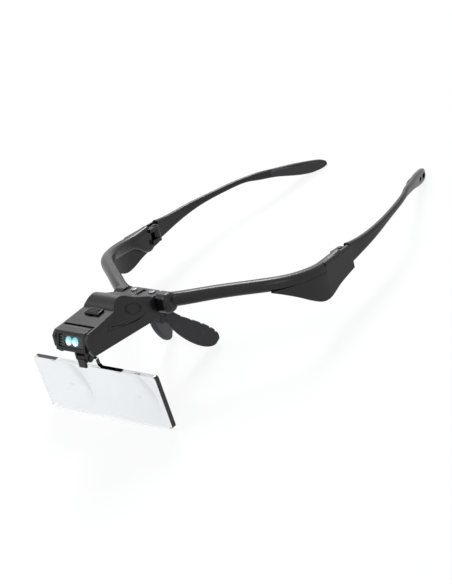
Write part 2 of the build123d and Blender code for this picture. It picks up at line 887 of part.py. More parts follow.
def lamp_envelope(shrink):
    """The lamp's outer form, taken in on all sides by shrink."""
    side = lamp_side_face(shrink)
    front = lamp_front_face(shrink)
    long_form = extrude(Plane.YZ * side, amount=lamp_half_width, both=True)
    end_form = extrude(Plane.XZ * front, amount=-lamp_front_y + overrun)
    return long_form & end_form


def lamp_skin():
    """The lamp's outer form with its long edges rounded."""
    form = lamp_envelope(0)
    long_edges = form.edges().filter_by(Axis.Y)
    shoulders = [e for e in long_edges if abs(e.center().X) > lamp_half_width - seat_gap and e.center().Z > head_z]
    return fillet(shoulders, flank_round)


def head_bay():
    """The space between the cheeks in which the lamp head turns."""
    radius = head_radius + head_bay_gap
    turning = crosswise(head_y, head_z, -bay_half_width, bay_half_width, radius)
    front = block(
        (-bay_half_width, lamp_front_y - overrun, lamp_floor_z - overrun),
        (bay_half_width, head_y + deck_lip, hood_z + overrun),
    )
    return turning + front


def housing_bosses():
    """The two bosses of the upper shell for the front housing screws."""
    y = lamp_front_y + front_screw_setback
    solid = None
    for side in (-1, 1):
        boss = upright(side * housing_screw_x, y, floor_top_z + seat_gap, deck_front_z - side_round, housing_boss_radius)
        solid = boss if solid is None else solid + boss
    return solid


def housing_screws(gap):
    """Four identical screws, driven from below."""
    front_y = lamp_front_y + front_screw_setback
    rear_y = dock_front_y + dock_plug_depth / 2 - side_round / 2
    screws = []
    for y in (front_y, rear_y):
        for side in (-1, 1):
            x = side * housing_screw_x
            head = upright(x, y, lamp_floor_z, lamp_floor_z + housing_screw_head + gap, housing_screw_head_radius + gap)
            shank = upright(x, y, lamp_floor_z, lamp_floor_z + housing_screw_length + gap, housing_screw_radius + gap)
            screws.append(head + shank)
    return screws


def switch_plane():
    """The deck's plane, at the middle of the switch."""
    slope = radians(deck_angle)
    y = hood_front_y - switch_rear_gap - switch_depth / 2
    z = deck_front_z + (y - deck_front_y) * tan(slope)
    return Plane(origin=(0, y, z), x_dir=(1, 0, 0), z_dir=(0, -sin(slope), cos(slope)))


def deck_slot():
    """The slot through the deck that the switch's stem passes."""
    long_way = switch_stem_depth + switch_travel + moving_gap * 2
    wide_way = switch_stem_width + moving_gap * 2
    plane = switch_plane()
    return plane * Pos(0, -switch_travel / 2, 0) * Box(wide_way, long_way, overrun / 3)


def housing_top():
    """The lamp's upper shell with the raised hood."""
    groove = flank_groove()
    solid = lamp_skin() - groove - flipped(groove)
    inside = lamp_envelope(lamp_wall) & block(
        (-lamp_half_width, bulkhead_y, lamp_floor_z - overrun),
        (lamp_half_width, lamp_rear_y - lamp_wall, hood_z + overrun),
    )
    mouth_half = lamp_half_width - lamp_wall
    mouth = block(
        (-mouth_half, bulkhead_y, lamp_floor_z - overrun),
        (mouth_half, lamp_rear_y + overrun, floor_top_z + lamp_wall),
    )
    rear = block(
        (-dock_half_width - seat_gap, dock_front_y - seat_gap, lamp_floor_z - overrun),
        (dock_half_width + seat_gap, lamp_rear_y + overrun, hood_z + overrun),
    )
    tongue = block(
        (-bay_half_width, lamp_front_y - overrun, lamp_floor_z - overrun),
        (bay_half_width, bulkhead_y + side_round, floor_top_z + seat_gap),
    )
    solid = solid - inside - mouth - rear - head_bay() - tongue
    solid += housing_bosses() & lamp_envelope(lamp_wall / 2)
    solid -= deck_slot()
    for screw in housing_screws(seat_gap)[:2]:
        solid -= screw
    for side in (-1, 1):
        solid -= axle(side, seat_gap)
    slit = contact_strip(seat_gap)
    return solid - slit - flipped(slit)


def holder_lugs():
    """The two lugs under the floor that carry the lens holder's pin."""
    solid = None
    inner = holder_half_width + moving_gap
    for side in (-1, 1):
        low, high = sorted((side * inner, side * (inner + lug_thickness)))
        eye = crosswise(pin_y, pin_z, low, high, lug_radius)
        stalk = block((low, pin_y - lug_radius, pin_z), (high, pin_y + lug_radius, lamp_floor_z + side_round / 2))
        solid = eye + stalk if solid is None else solid + eye + stalk
    return solid


def cover_rails():
    """The two rails under the floor that guide the battery cover."""
    y_low = cell_y - cover_length / 2
    y_high = cell_y + cover_length / 2
    under = lamp_floor_z - cover_gap - cover_thickness - cover_gap
    solid = None
    for side in (-1, 1):
        near, far = sorted((side * (cover_half_width + cover_gap), side * (cover_half_width + cover_gap + rail_width)))
        lip_near, lip_far = sorted((side * (cover_half_width - rail_lip), side * (cover_half_width + cover_gap + rail_width)))
        web = block((near, y_low, under), (far, y_high, lamp_floor_z + side_round / 2))
        lip = block((lip_near, y_low, under - rail_thickness), (lip_far, y_high, under))
        rail = web + lip
        solid = rail if solid is None else solid + rail
    return solid


def battery_opening():
    """The opening in the lower shell that the battery cover closes."""
    half = cell_count * cell_thickness / 2 + contact_leaf_rise + side_round
    return block(
        (-half, cell_y - cell_radius - moving_gap, lamp_floor_z - overrun / 3),
        (half, cell_y + cell_radius + moving_gap, floor_top_z + overrun / 3),
    )


def housing_base():
    """The lamp's lower shell."""
    half = lamp_half_width - lamp_wall - seat_gap
    plate = block((-half, bulkhead_y + seat_gap, lamp_floor_z), (half, lamp_rear_y, floor_top_z))
    tongue_half = bay_half_width - seat_gap
    tongue = block(
        (-tongue_half, pin_y - lug_radius, lamp_floor_z),
        (tongue_half, bulkhead_y + side_round, floor_top_z),
    )
    solid = plate + tongue - battery_opening() + holder_lugs() + cover_rails()
    solid -= crosswise(pin_y, pin_z, -overrun, overrun, holder_pin_radius + seat_gap)
    for screw in housing_screws(seat_gap):
        solid -= screw
    return solid


def battery_cover():
    """The sliding cover under the cells."""
    low = lamp_floor_z - cover_gap - cover_thickness
    plate = block(
        (-cover_half_width, cell_y - cover_length / 2, low),
        (cover_half_width, cell_y + cover_length / 2, lamp_floor_z - cover_gap),
    )
    grip_half = cover_half_width - rail_lip - moving_gap * 3
    for i in range(cover_rib_count):
        y = cell_y + cover_length / 2 - cover_rib_pitch * (i + 1)
        plate += block(
            (-grip_half, y - cover_rib_width / 2, low - cover_rib_height),
            (grip_half, y + cover_rib_width / 2, low),
        )
    return plate


def lamp_dock():
    """The block that joins the lamp to the hub."""
    top = dock_top_z
    rear = brow_middle_y + dock_reach
    plug_rear = brow_middle_y - brow_depth / 2 - seat_gap
    flange = block((-dock_half_width, dock_front_y, top - dock_thickness), (dock_half_width, rear, top))
    flange = fillet(flange.edges().filter_by(Axis.Z).sort_by(Axis.Y)[-2:], hub_round)
    plug = block(
        (-dock_half_width, dock_front_y, floor_top_z + seat_gap),
        (dock_half_width, plug_rear, top - dock_thickness / 2),
    )
    solid = flange + plug
    solid -= block(
        (-dock_groove_half, dock_front_y + dock_groove_half, top - dock_groove_depth),
        (dock_groove_half, rear - dock_groove_half, top + overrun),
    )
    for side in (-1, 1):
        x = side * dock_screw_x
        solid -= upright(x, brow_middle_y, top - overrun / 3, top, dock_screw_radius + seat_gap)
        solid -= upright(x, brow_middle_y, top - dock_screw_sink, top + overrun, dock_screw_head_radius + seat_gap)
    for screw in housing_screws(seat_gap)[2:]:
        solid -= screw
    return solid


def dock_screws():
    """The two bright screws that show on top of the dock."""
    seat = dock_top_z - dock_screw_sink
    solids = []
    for side in (-1, 1):
        x = side * dock_screw_x
        head = upright(x, brow_middle_y, seat, seat + dock_screw_head, dock_screw_head_radius)
        head = fillet(head.edges().sort_by(Axis.Z)[-1:], slot_depth)
        shank = upright(x, brow_middle_y, seat - dock_screw_length + dock_thickness, seat, dock_screw_radius)
        slot = block(
            (x - dock_screw_head_radius, brow_middle_y - slot_width / 2, seat + dock_screw_head - slot_depth),
            (x + dock_screw_head_radius, brow_middle_y + slot_width / 2, seat + overrun),
        )
        solids.append(head + shank - slot)
    return Compound(children=solids)


def button_cell(number):
    """One button cell of the row, which lies along X."""
    pitch = cell_thickness + cell_gap
    x = (number - (cell_count - 1) / 2) * pitch
    low = x - cell_thickness / 2
    rim = crosswise(cell_y, cell_z, low, low + cell_thickness, cell_radius)
    return fillet(rim.edges(), cell_thickness / 10)


def contact_plate():
    """The flat contact at the row's left end, standing on the floor."""
    x = cell_count * (cell_thickness + cell_gap) / 2 + cell_gap
    solid = block(
        (x, cell_y - strip_width / 2, floor_top_z + seat_gap),
        (x + contact_thickness, cell_y + strip_width / 2, cell_z + cell_radius / 2),
    )
    foot_y = cell_y - cell_radius - moving_gap
    foot = block(
        (x, foot_y - strip_width, floor_top_z + seat_gap),
        (x + foot_length, foot_y - strip_width / 4, floor_top_z + seat_gap + contact_thickness),
    )
    riser = block(
        (x, foot_y - strip_width / 2, floor_top_z + seat_gap),
        (x + contact_thickness, cell_y, floor_top_z + seat_gap + foot_length),
    )
    return solid + foot + riser


def contact_leaf():
    """The bent leaf at the row's right end, which presses the cells together."""
    x = -cell_count * (cell_thickness + cell_gap) / 2 - cell_gap
    back = x - contact_leaf_rise
    solid = block(
        (back, cell_y - strip_width / 2, floor_top_z + seat_gap),
        (back + contact_thickness, cell_y + strip_width / 2, cell_z + cell_radius / 2),
    )
    top_z = cell_z + cell_radius / 2
    arch = block(
        (back, cell_y - strip_width / 2, top_z - contact_thickness),
        (x, cell_y + strip_width / 2, top_z),
    )
    touch = block(
        (x - contact_thickness, cell_y - strip_width / 2, cell_z - cell_radius / 4),
        (x, cell_y + strip_width / 2, top_z),
    )
    foot_y = cell_y - cell_radius - moving_gap
    riser = block(
        (back, foot_y - strip_width / 2, floor_top_z + seat_gap),
        (back + contact_thickness, cell_y, floor_top_z + seat_gap + foot_length),
    )
    foot = block(
        (back, foot_y - strip_width, floor_top_z + seat_gap),
        (back + foot_length, foot_y - strip_width / 4, floor_top_z + seat_gap + contact_thickness),
    )
    return solid + arch + touch + riser + foot


def switch_slider():
    """The ribbed pad on the deck, with the foot that moves the switch."""
    plane = switch_plane()
    lift = running_gap
    pad = Pos(0, 0, lift + switch_height / 2) * Box(switch_width, switch_depth, switch_height)
    pad = fillet(pad.edges().filter_by(Axis.Z), switch_height / 2)
    pad = fillet(pad.faces().sort_by(Axis.Z)[-1].edges(), switch_rib_height)
    for i in range(switch_rib_count):
        share = (i + 1) / (switch_rib_count + 1)
        y = (share - 1 / 2) * switch_depth
        rib = Pos(0, y, lift + switch_height) * Box(
            switch_width - switch_height * 2, switch_rib_width, switch_rib_height * 2
        )
        pad += rib
    stem = Pos(0, 0, (lift - switch_stem_length) / 2 + lift / 2) * Box(
        switch_stem_width, switch_stem_depth, switch_stem_length + lift * 2
    )
    return plane * (pad + stem)


def switch_body():
    """The switch under the deck, an open box that the stem reaches into."""
    plane = switch_plane()
    top = -lamp_wall / cos(radians(deck_angle)) - seat_gap * 3
    centre = Pos(0, -switch_travel / 2, top - switch_body_height / 2)
    body = centre * Box(switch_body_width, switch_body_depth, switch_body_height)
    hollow = Pos(0, 0, switch_body_wall) * centre * Box(
        switch_body_width - switch_body_wall * 2, switch_body_depth - switch_body_wall * 2, switch_body_height
    )
    return plane * (body - hollow)


def board_z():
    """Height of the circuit board's underside."""
    return floor_top_z + board_rise


def circuit_board():
    """The board between the cells and the lamp head."""
    low = bulkhead_y + board_gap
    board = block((-board_width / 2, low, board_z()), (board_width / 2, low + board_length, board_z() + board_thickness))
    chip = block(
        (-chip_width / 2, low + chip_width, board_z() - chip_height),
        (chip_width / 2, low + chip_width * 2, board_z()),
    )
    return board + chip


def board_posts():
    """Two ribs of the floor that the circuit board lies on."""
    low = bulkhead_y + board_gap
    solid = None
    for y in (low + side_round, low + board_length - side_round):
        rib = block(
            (-board_width / 4, y - side_round / 2, floor_top_z - side_round / 2),
            (board_width / 4, y + side_round / 2, board_z() - seat_gap),
        )
        solid = rib if solid is None else solid + rib
    return solid


def contact_strip(gap):
    """The brass strip from the board to the drum of the lamp head."""
    z = board_z() + board_thickness + seat_gap
    reach = head_radius + moving_gap
    front = head_y + sqrt(reach ** 2 - (z - head_z) ** 2)
    x = board_width / 2 - strip_width
    return block(
        (x - gap, front - gap, z - gap),
        (x + strip_width + gap, bulkhead_y + board_gap + strip_width / 2, z + strip_thickness + gap),
    )


def axle(side, gap):
    """One axle of the lamp head, pressed into a cheek."""
    inner = bay_half_width + axle_in_cheek
    low, high = sorted((side * (inner + gap), side * (head_half_width - axle_in_head)))
    return crosswise(head_y, head_z, low, high, axle_radius + gap)


def face_plane():
    """The slanting front face of the lamp head, origin in its middle."""
    top = (head_y - head_top_nose, head_z + head_top)
    bottom = (head_y - head_nose, head_z - head_chin)
    rise = top[1] - bottom[1]
    back = top[0] - bottom[0]
    length = hypot(rise, back)
    origin = (0, (top[0] + bottom[0]) / 2, (top[1] + bottom[1]) / 2)
    return Plane(origin=origin, x_dir=(1, 0, 0), z_dir=(0, -rise / length, back / length))


def lamp_head():
    """The drum with its slanting face, recess and axle bores."""
    drum = crosswise(head_y, head_z, -head_half_width, head_half_width, head_radius)
    down = radians(head_tilt_down)
    outline = [
        (head_y, head_z + head_radius),
        (head_y - head_top_nose, head_z + head_top),
        (head_y - head_nose, head_z - head_chin),
        (head_y - head_nose + head_round, head_z - head_bottom),
        (head_y - head_radius * sin(down), head_z - head_radius * cos(down)),
    ]
    solid = drum + sideways(outline, head_half_width)
    plane = face_plane()
    recess = plane * Pos(0, 0, -recess_depth / 2) * Box(
        recess_half_width * 2, recess_half_height * 2, recess_depth
    )
    outside = plane * Pos(0, 0, overrun / 2) * Box(recess_half_width * 2, recess_half_height * 2, overrun)
    solid = solid - recess - outside
    for side in (-1, 1):
        ends = sorted((side * (head_half_width + overrun), side * (head_half_width - axle_in_head - running_gap)))
        solid -= crosswise(head_y, head_z, *ends, axle_radius + running_gap)
    return solid


def led_places():
    """The middles of the two diodes, across the lamp head."""
    return (-led_pitch / 2, led_pitch / 2)


def led_board():
    """The board behind the diodes."""
    plane = face_plane()
    low = -recess_depth + seat_gap
    return plane * Pos(0, 0, low + led_board_thickness / 2) * Box(
        (recess_half_width - seat_gap) * 2, (recess_half_height - seat_gap) * 2, led_board_thickness
    )


def led(x):
    """One diode: flange, barrel and dome, standing on its board."""
    plane = face_plane()
    base = -recess_depth + seat_gap * 2 + led_board_thickness
    top = led_proud - led_radius
    flange = Pos(x, 0, base + led_flange_height / 2) * Cylinder(led_flange_radius, led_flange_height)
    barrel = Pos(x, 0, (base + top) / 2) * Cylinder(led_radius, top - base)
    dome = Pos(x, 0, top) * Sphere(led_radius, arc_size1=0)
    return plane * (flange + barrel + dome)


def reflector():
    """The insert round the diodes, with ribs to their left and right."""
    plane = face_plane()
    high = -reflector_back
    low = high - reflector_depth + led_board_thickness
    low = max(low, -recess_depth + led_board_thickness + seat_gap * 3 + led_flange_height)
    body = Pos(0, 0, (low + high) / 2) * Box(
        (recess_half_width - seat_gap) * 2, (recess_half_height - seat_gap) * 2, high - low
    )
    for x in led_places():
        body -= Pos(x, 0, 0) * Cylinder(led_radius + seat_gap, overrun)
    near = led_pitch / 2 + led_radius + reflector_rib_width
    long = recess_half_width - seat_gap - near
    for side in (-1, 1):
        for i in range(reflector_rib_count):
            y = reflector_rib_pitch * (i - (reflector_rib_count - 1) / 2)
            body += Pos(side * (near + long / 2), y, high + reflector_rib_height / 2 - seat_gap) * Box(
                long, reflector_rib_width, reflector_rib_height + seat_gap * 2
            )
    return plane * body


def lens_outline():
    """The plate's outline, top edge at zero, in the plate's own plane."""
    low_half = lens_half_width - lens_taper
    middle = low_half / 2
    edges = [
        Line((-lens_half_width, 0), (lens_half_width, 0)),
        Line((lens_half_width, 0), (low_half, -lens_height)),
        ThreePointArc((low_half, -lens_height), (middle, -lens_height - lens_belly), (0, -lens_height)),
        ThreePointArc((0, -lens_height), (-middle, -lens_height - lens_belly), (-low_half, -lens_height)),
        Line((-low_half, -lens_height), (-lens_half_width, 0)),
    ]
    return make_face(edges)


def lens_tongue(gap):
    """The tongue on top of the plate: a flared root, a broad part and a narrow neck."""
    root = tongue_half_width + tongue_root
    neck_top = tongue_length + neck_length + gap
    neck = neck_half_width + gap
    outline = make_face(Polyline(
        (-root, -side_round),
        (root, -side_round),
        (root, 0),
        (tongue_half_width, tongue_root),
        (tongue_half_width, tongue_length),
        (neck, tongue_length),
        (neck, neck_top),
        (-neck, neck_top),
        (-neck, tongue_length),
        (-tongue_half_width, tongue_length),
        (-tongue_half_width, tongue_root),
        (-root, 0),
        close=True,
    ))
    rear = -(lens_thickness + tongue_thickness) / 2 - gap
    return Pos(0, 0, rear) * extrude(outline, amount=tongue_thickness + gap * 2)


def optical_zone(side):
    """One spherical zone that stands out of the plate's front face."""
    middle = side * (lens_half_width - zone_setback)
    rise = zone_radius - sqrt(zone_radius**2 - zone_half_width**2)
    reach = zone_half_width + zone_overlap
    ball = Pos(middle, -lens_height / 2, rise - zone_radius) * Sphere(zone_radius)
    field = block(
        (middle - reach, -lens_height + zone_edge_height, -lens_thickness / 2),
        (middle + reach, -zone_edge_height, rise * 2),
    )
    return ball & field


def lens_plate():
    """The clear plate with its two optical zones and its tongue."""
    plate = Pos(0, 0, -lens_thickness) * extrude(lens_outline(), amount=lens_thickness)
    corners = plate.edges().filter_by(Axis.Z).filter_by(lambda e: abs(e.center().X) > lens_half_width / 2)
    plate = fillet(corners, lens_corner)
    solid = plate + optical_zone(-1) + optical_zone(1) + lens_tongue(0)
    return lens_plane * solid


def lens_holder():
    """The latch that grips the plate's tongue and turns on the pin."""
    barrel = crosswise(pin_y, pin_z, -holder_half_width, holder_half_width, holder_barrel_radius)
    tongue_middle = -lens_thickness / 2
    half_deep = tongue_thickness / 2 + holder_jaw_wall
    half_wide = neck_half_width + holder_jaw_wall
    top = tongue_length + neck_length + slot_depth
    jaw = lens_plane * block(
        (-half_wide, top - holder_jaw_height, tongue_middle - half_deep),
        (half_wide, top, tongue_middle + half_deep),
    )
    latch = block(
        (-latch_half_width, pin_y - holder_barrel_radius - latch_thickness / 2, pin_z - latch_length),
        (latch_half_width, pin_y - holder_barrel_radius + latch_thickness / 2, pin_z),
    )
    bridge = block(
        (-latch_half_width, pin_y - holder_barrel_radius, pin_z - holder_barrel_radius),
        (latch_half_width, pin_y, pin_z),
    )
    solid = barrel + jaw + latch + bridge
    solid -= lens_plane * lens_tongue(running_gap)
    return solid - crosswise(pin_y, pin_z, -overrun, overrun, holder_pin_radius + running_gap)


def holder_pin():
    """The pin through the lamp's two lugs and the holder, with a head at one end."""
    reach = holder_half_width + moving_gap + lug_thickness
    head_share = 1.6
    pin = crosswise(pin_y, pin_z, -reach, reach + holder_pin_head, holder_pin_radius)
    head = crosswise(pin_y, pin_z, reach + seat_gap, reach + holder_pin_head, holder_pin_radius * head_share)
    return pin + head


def worn_pieces():
    """Every piece, in the place it has when worn."""
    pieces = {
        "brow_frame": brow_frame(),
        "nose_bracket": nose_bracket(),
        "nose_saddle": nose_saddle(),
        "nose_screw": nose_screw(0),
        "lamp_dock": lamp_dock(),
        "dock_screws": dock_screws(),
        "housing_top": housing_top(),
        "housing_base": housing_base() + board_posts(),
        "housing_screws": Compound(children=housing_screws(0)),
        "battery_cover": battery_cover(),
        "contact_plate": contact_plate(),
        "contact_leaf": contact_leaf(),
        "switch_slider": switch_slider(),
        "switch_body": switch_body(),
        "circuit_board": circuit_board(),
        "lamp_head": lamp_head(),
        "reflector": reflector(),
        "led_board": led_board(),
        "lens_plate": lens_plate(),
        "lens_holder": lens_holder(),
        "holder_pin": holder_pin(),
        "side_screws": Compound(children=[side_screw(0), flipped(side_screw(0))]),
        "hinge_pins": Compound(children=[hinge_pin(), flipped(hinge_pin())]),
        "head_axles": Compound(children=[axle(1, 0), axle(-1, 0)]),
    }
    for number in range(cell_count):
        pieces[f"button_cell_{number + 1}"] = button_cell(number)
    paired = {
        "side_piece": side_piece(),
        "temple": temple(),
        "temple_pad": temple_pad(),
        "contact_strip": contact_strip(0),
        "led": led(led_pitch / 2),
    }
    for name, shape in paired.items():
        pieces[f"{name}_left"] = shape
        pieces[f"{name}_right"] = flipped(shape)
    return pieces


def main():
    """Lay every piece out as worn, turn the glasses to their rest on a table and write them."""
    pieces = worn_pieces()
    low_y = lens_plane.origin.Y + lens_height * sin(lean)
    low_z = lens_plane.origin.Z - (lens_height + lens_belly) * cos(lean)
    tip = arm_stations()[-4]
    pitch = degrees(atan2(tip[3] + tip_flat - low_z, tip[0][1] - low_y))
    turned = {name: Rot(-pitch, 0, 0) * shape for name, shape in pieces.items()}
    floor = turned["lens_plate"].bounding_box().min.Z
    for side in ("left", "right"):
        reach = arm_run + side_length
        below = block((-reach, -reach * 2, floor - overrun), (reach, reach * 2, floor))
        for name in ("temple", "temple_pad"):
            turned[f"{name}_{side}"] = turned[f"{name}_{side}"] - below
    boxes = [shape.bounding_box() for shape in turned.values()]
    front = min(box.min.Y for box in boxes)
    rear = max(box.max.Y for box in boxes)
    shift = Pos(0, -(front + rear) / 2, -floor)
    os.makedirs("parts", exist_ok=True)
    for name, shape in turned.items():
        export_step(shift * shape, f"parts/{name}.step")
    print(f"pitch {pitch:.5f}")

    def seen(point):
        place = shift * Rot(-pitch, 0, 0) * Pos(*point)
        return [round(c, 5) for c in place.position]

    for name, point in {
        "temple_fold_left": (hinge_x, hinge_y, knuckle_middle_z),
        "temple_fold_right": (-hinge_x, hinge_y, knuckle_middle_z),
        "head_tilt": (0, head_y, head_z),
        "lens_tilt": (0, pin_y, pin_z),
        "origin_worn": (0, 0, 0),
    }.items():
        print("place", name, *seen(point))


main()
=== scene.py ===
"""Looks for a pair of head-worn magnifier glasses with a light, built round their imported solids.

Sizes are in millimetres in the frame in which the glasses are worn: +X to the wearer's left, -Y
forwards and +Z up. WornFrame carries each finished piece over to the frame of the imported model.
"""

import json
import logging
import math
from dataclasses import dataclass, field
from enum import Enum
from typing import Callable

import bmesh
import bpy
from mathutils import Matrix, Vector

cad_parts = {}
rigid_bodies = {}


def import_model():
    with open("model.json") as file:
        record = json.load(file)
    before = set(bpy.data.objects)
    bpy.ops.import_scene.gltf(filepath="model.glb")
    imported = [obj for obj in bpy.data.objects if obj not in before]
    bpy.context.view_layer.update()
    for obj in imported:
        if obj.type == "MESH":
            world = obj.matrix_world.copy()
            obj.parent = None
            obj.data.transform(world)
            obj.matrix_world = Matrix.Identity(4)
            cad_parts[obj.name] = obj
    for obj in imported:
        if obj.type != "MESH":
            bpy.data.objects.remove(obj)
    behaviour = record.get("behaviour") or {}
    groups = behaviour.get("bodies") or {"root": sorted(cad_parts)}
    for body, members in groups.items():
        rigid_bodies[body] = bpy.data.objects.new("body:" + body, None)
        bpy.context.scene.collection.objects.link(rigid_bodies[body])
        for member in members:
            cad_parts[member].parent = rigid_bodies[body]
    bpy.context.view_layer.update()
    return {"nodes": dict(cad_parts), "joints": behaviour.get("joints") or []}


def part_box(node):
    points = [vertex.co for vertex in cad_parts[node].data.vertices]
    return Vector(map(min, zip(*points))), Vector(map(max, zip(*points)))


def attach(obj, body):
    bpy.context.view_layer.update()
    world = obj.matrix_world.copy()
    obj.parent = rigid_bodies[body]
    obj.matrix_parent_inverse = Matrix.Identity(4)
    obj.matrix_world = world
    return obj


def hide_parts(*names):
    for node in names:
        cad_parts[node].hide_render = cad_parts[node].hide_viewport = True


MM = 0.001
HINGE = (70.0, 47.5, -4.4)  # the left temple hinge, in worn millimetres
Colour = tuple[float, float, float]
Place = tuple[float, float]

log = logging.getLogger("magnifier")


class Side(Enum):
    """The two sides of the wearer."""

    LEFT = 1
    RIGHT = -1

    @property
    def word(self) -> str:
        """The side's name as the pieces carry it."""
        return self.name.lower()


class Gloss(Enum):
    """How polished a mould or a sheet is, as a base roughness."""

    MATT = 0.62
    SATIN = 0.30
    BRIGHT = 0.22
    POLISHED = 0.02


# Shader node groups


class NodeSheet:
    """A node tree with short ways to add and join nodes."""

    def __init__(self, tree: bpy.types.NodeTree) -> None:
        """Keeps the tree that the nodes go into.

        Args:
            tree: the node tree of a material, a world or a group.
        """
        self.tree = tree

    def add(self, kind: str, **settings: object) -> bpy.types.Node:
        """Adds a node and sets its properties.

        Args:
            kind: the node's type name.
            settings: properties of the node, by name.

        Returns:
            The new node.
        """
        node = self.tree.nodes.new(kind)
        for name, value in settings.items():
            setattr(node, name, value)
        return node

    def join(self, source: bpy.types.NodeSocket, target: bpy.types.NodeSocket) -> None:
        """Links an output to an input."""
        self.tree.links.new(source, target)

    def math(self, operation: str, first: object, second: object = 0.0) -> bpy.types.NodeSocket:
        """Adds a Math node.

        Args:
            operation: the node's operation.
            first: a socket or a number for its first input.
            second: a socket or a number for its second input.

        Returns:
            The node's output.
        """
        node = self.add("ShaderNodeMath", operation=operation)
        for slot, value in zip(node.inputs, (first, second)):
            if isinstance(value, bpy.types.NodeSocket):
                self.join(value, slot)
            else:
                slot.default_value = value
        return node.outputs[0]

    def blend(self, share: object, first: object, second: object) -> bpy.types.NodeSocket:
        """Mixes two colours.

        Args:
            share: a socket or a number, how much of the second colour there is.
            first: a socket or a colour.
            second: a socket or a colour.

        Returns:
            The mixed colour's output.
        """
        node = self.add("ShaderNodeMix", data_type="RGBA")
        for place, value in ((0, share), (6, first), (7, second)):
            slot = node.inputs[place]
            if isinstance(value, bpy.types.NodeSocket):
                self.join(value, slot)
            elif isinstance(value, tuple):
                slot.default_value = (*value, 1.0)
            else:
                slot.default_value = value
        return node.outputs[2]


def socket(
    group: bpy.types.NodeTree, name: str, direction: str, kind: str, value: object = None
) -> None:
    """Adds a named input or output to a node group.

    Args:
        group: the node group.
        name: the socket's name.
        direction: "INPUT" or "OUTPUT".
        kind: "Float", "Color" or "Vector".
        value: the default of an input.
    """
    made = group.interface.new_socket(name=name, in_out=direction, socket_type=f"NodeSocket{kind}")
    if value is not None:
        made.default_value = value


def moulded_grain() -> bpy.types.NodeTree:
    """A mould's fine eroded grain, with a slow unevenness of shine and colour.

    Returns:
        The group, with outputs Colour, Roughness and Height.
    """
    name = "moulded_grain"
    if name in bpy.data.node_groups:
        return bpy.data.node_groups[name]
    group = bpy.data.node_groups.new(name, "ShaderNodeTree")
    socket(group, "Colour", "INPUT", "Color", (0.02, 0.02, 0.02, 1.0))
    socket(group, "Pale Colour", "INPUT", "Color", (0.04, 0.04, 0.04, 1.0))
    socket(group, "Grain Scale", "INPUT", "Float", 2000.0)
    socket(group, "Flow Scale", "INPUT", "Float", 60.0)
    socket(group, "Roughness", "INPUT", "Float", 0.4)
    socket(group, "Spread", "INPUT", "Float", 0.1)
    socket(group, "Colour", "OUTPUT", "Color")
    socket(group, "Roughness", "OUTPUT", "Float")
    socket(group, "Height", "OUTPUT", "Float")
    sheet = NodeSheet(group)
    entry, leave = sheet.add("NodeGroupInput"), sheet.add("NodeGroupOutput")
    place = sheet.add("ShaderNodeTexCoord").outputs["Object"]
    fine = sheet.add("ShaderNodeTexNoise")
    fine.inputs["Detail"].default_value = 2.0
    slow = sheet.add("ShaderNodeTexNoise")
    slow.inputs["Detail"].default_value = 3.0
    for node, scale in ((fine, "Grain Scale"), (slow, "Flow Scale")):
        sheet.join(place, node.inputs["Vector"])
        sheet.join(entry.outputs[scale], node.inputs["Scale"])
    uneven = sheet.math("SUBTRACT", slow.outputs["Fac"], 0.5)
    shift = sheet.math("MULTIPLY", uneven, entry.outputs["Spread"])
    sheet.join(sheet.math("ADD", entry.outputs["Roughness"], shift), leave.inputs["Roughness"])
    share = sheet.math("MULTIPLY", fine.outputs["Fac"], slow.outputs["Fac"])
    tone = sheet.blend(share, entry.outputs["Colour"], entry.outputs["Pale Colour"])
    sheet.join(tone, leave.inputs["Colour"])
    sheet.join(fine.outputs["Fac"], leave.inputs["Height"])
    return group


def handling_marks() -> bpy.types.NodeTree:
    """Faint scuffs and settled dust over a finished colour.

    Returns:
        The group, with outputs Colour and Mask.
    """
    name = "handling_marks"
    if name in bpy.data.node_groups:
        return bpy.data.node_groups[name]
    group = bpy.data.node_groups.new(name, "ShaderNodeTree")
    socket(group, "Colour", "INPUT", "Color", (0.02, 0.02, 0.02, 1.0))
    socket(group, "Dust Colour", "INPUT", "Color", (0.3, 0.3, 0.3, 1.0))
    socket(group, "Amount", "INPUT", "Float", 0.1)
    socket(group, "Speck Scale", "INPUT", "Float", 700.0)
    socket(group, "Colour", "OUTPUT", "Color")
    socket(group, "Mask", "OUTPUT", "Float")
    sheet = NodeSheet(group)
    entry, leave = sheet.add("NodeGroupInput"), sheet.add("NodeGroupOutput")
    place = sheet.add("ShaderNodeTexCoord").outputs["Object"]
    specks = sheet.add("ShaderNodeTexNoise")
    drift = sheet.add("ShaderNodeTexNoise")
    drift.inputs["Scale"].default_value = 35.0
    sheet.join(place, specks.inputs["Vector"])
    sheet.join(place, drift.inputs["Vector"])
    sheet.join(entry.outputs["Speck Scale"], specks.inputs["Scale"])
    lone = sheet.math("GREATER_THAN", specks.outputs["Fac"], 0.66)
    patch = sheet.math("MULTIPLY", lone, drift.outputs["Fac"])
    mask = sheet.math("MULTIPLY", patch, entry.outputs["Amount"])
    tone = sheet.blend(mask, entry.outputs["Colour"], entry.outputs["Dust Colour"])
    sheet.join(tone, leave.inputs["Colour"])
    sheet.join(mask, leave.inputs["Mask"])
    return group


# Finishes


def place_group(
    sheet: NodeSheet, group: bpy.types.NodeTree, values: dict[str, object]
) -> bpy.types.Node:
    """Puts a node group into a material with its own values.

    Args:
        sheet: the material's nodes.
        group: the node group.
        values: numbers or colours of its inputs, by name.

    Returns:
        The group node.
    """
    node = sheet.add("ShaderNodeGroup", node_tree=group)
    for name, value in values.items():
        node.inputs[name].default_value = (*value, 1.0) if isinstance(value, tuple) else value
    return node


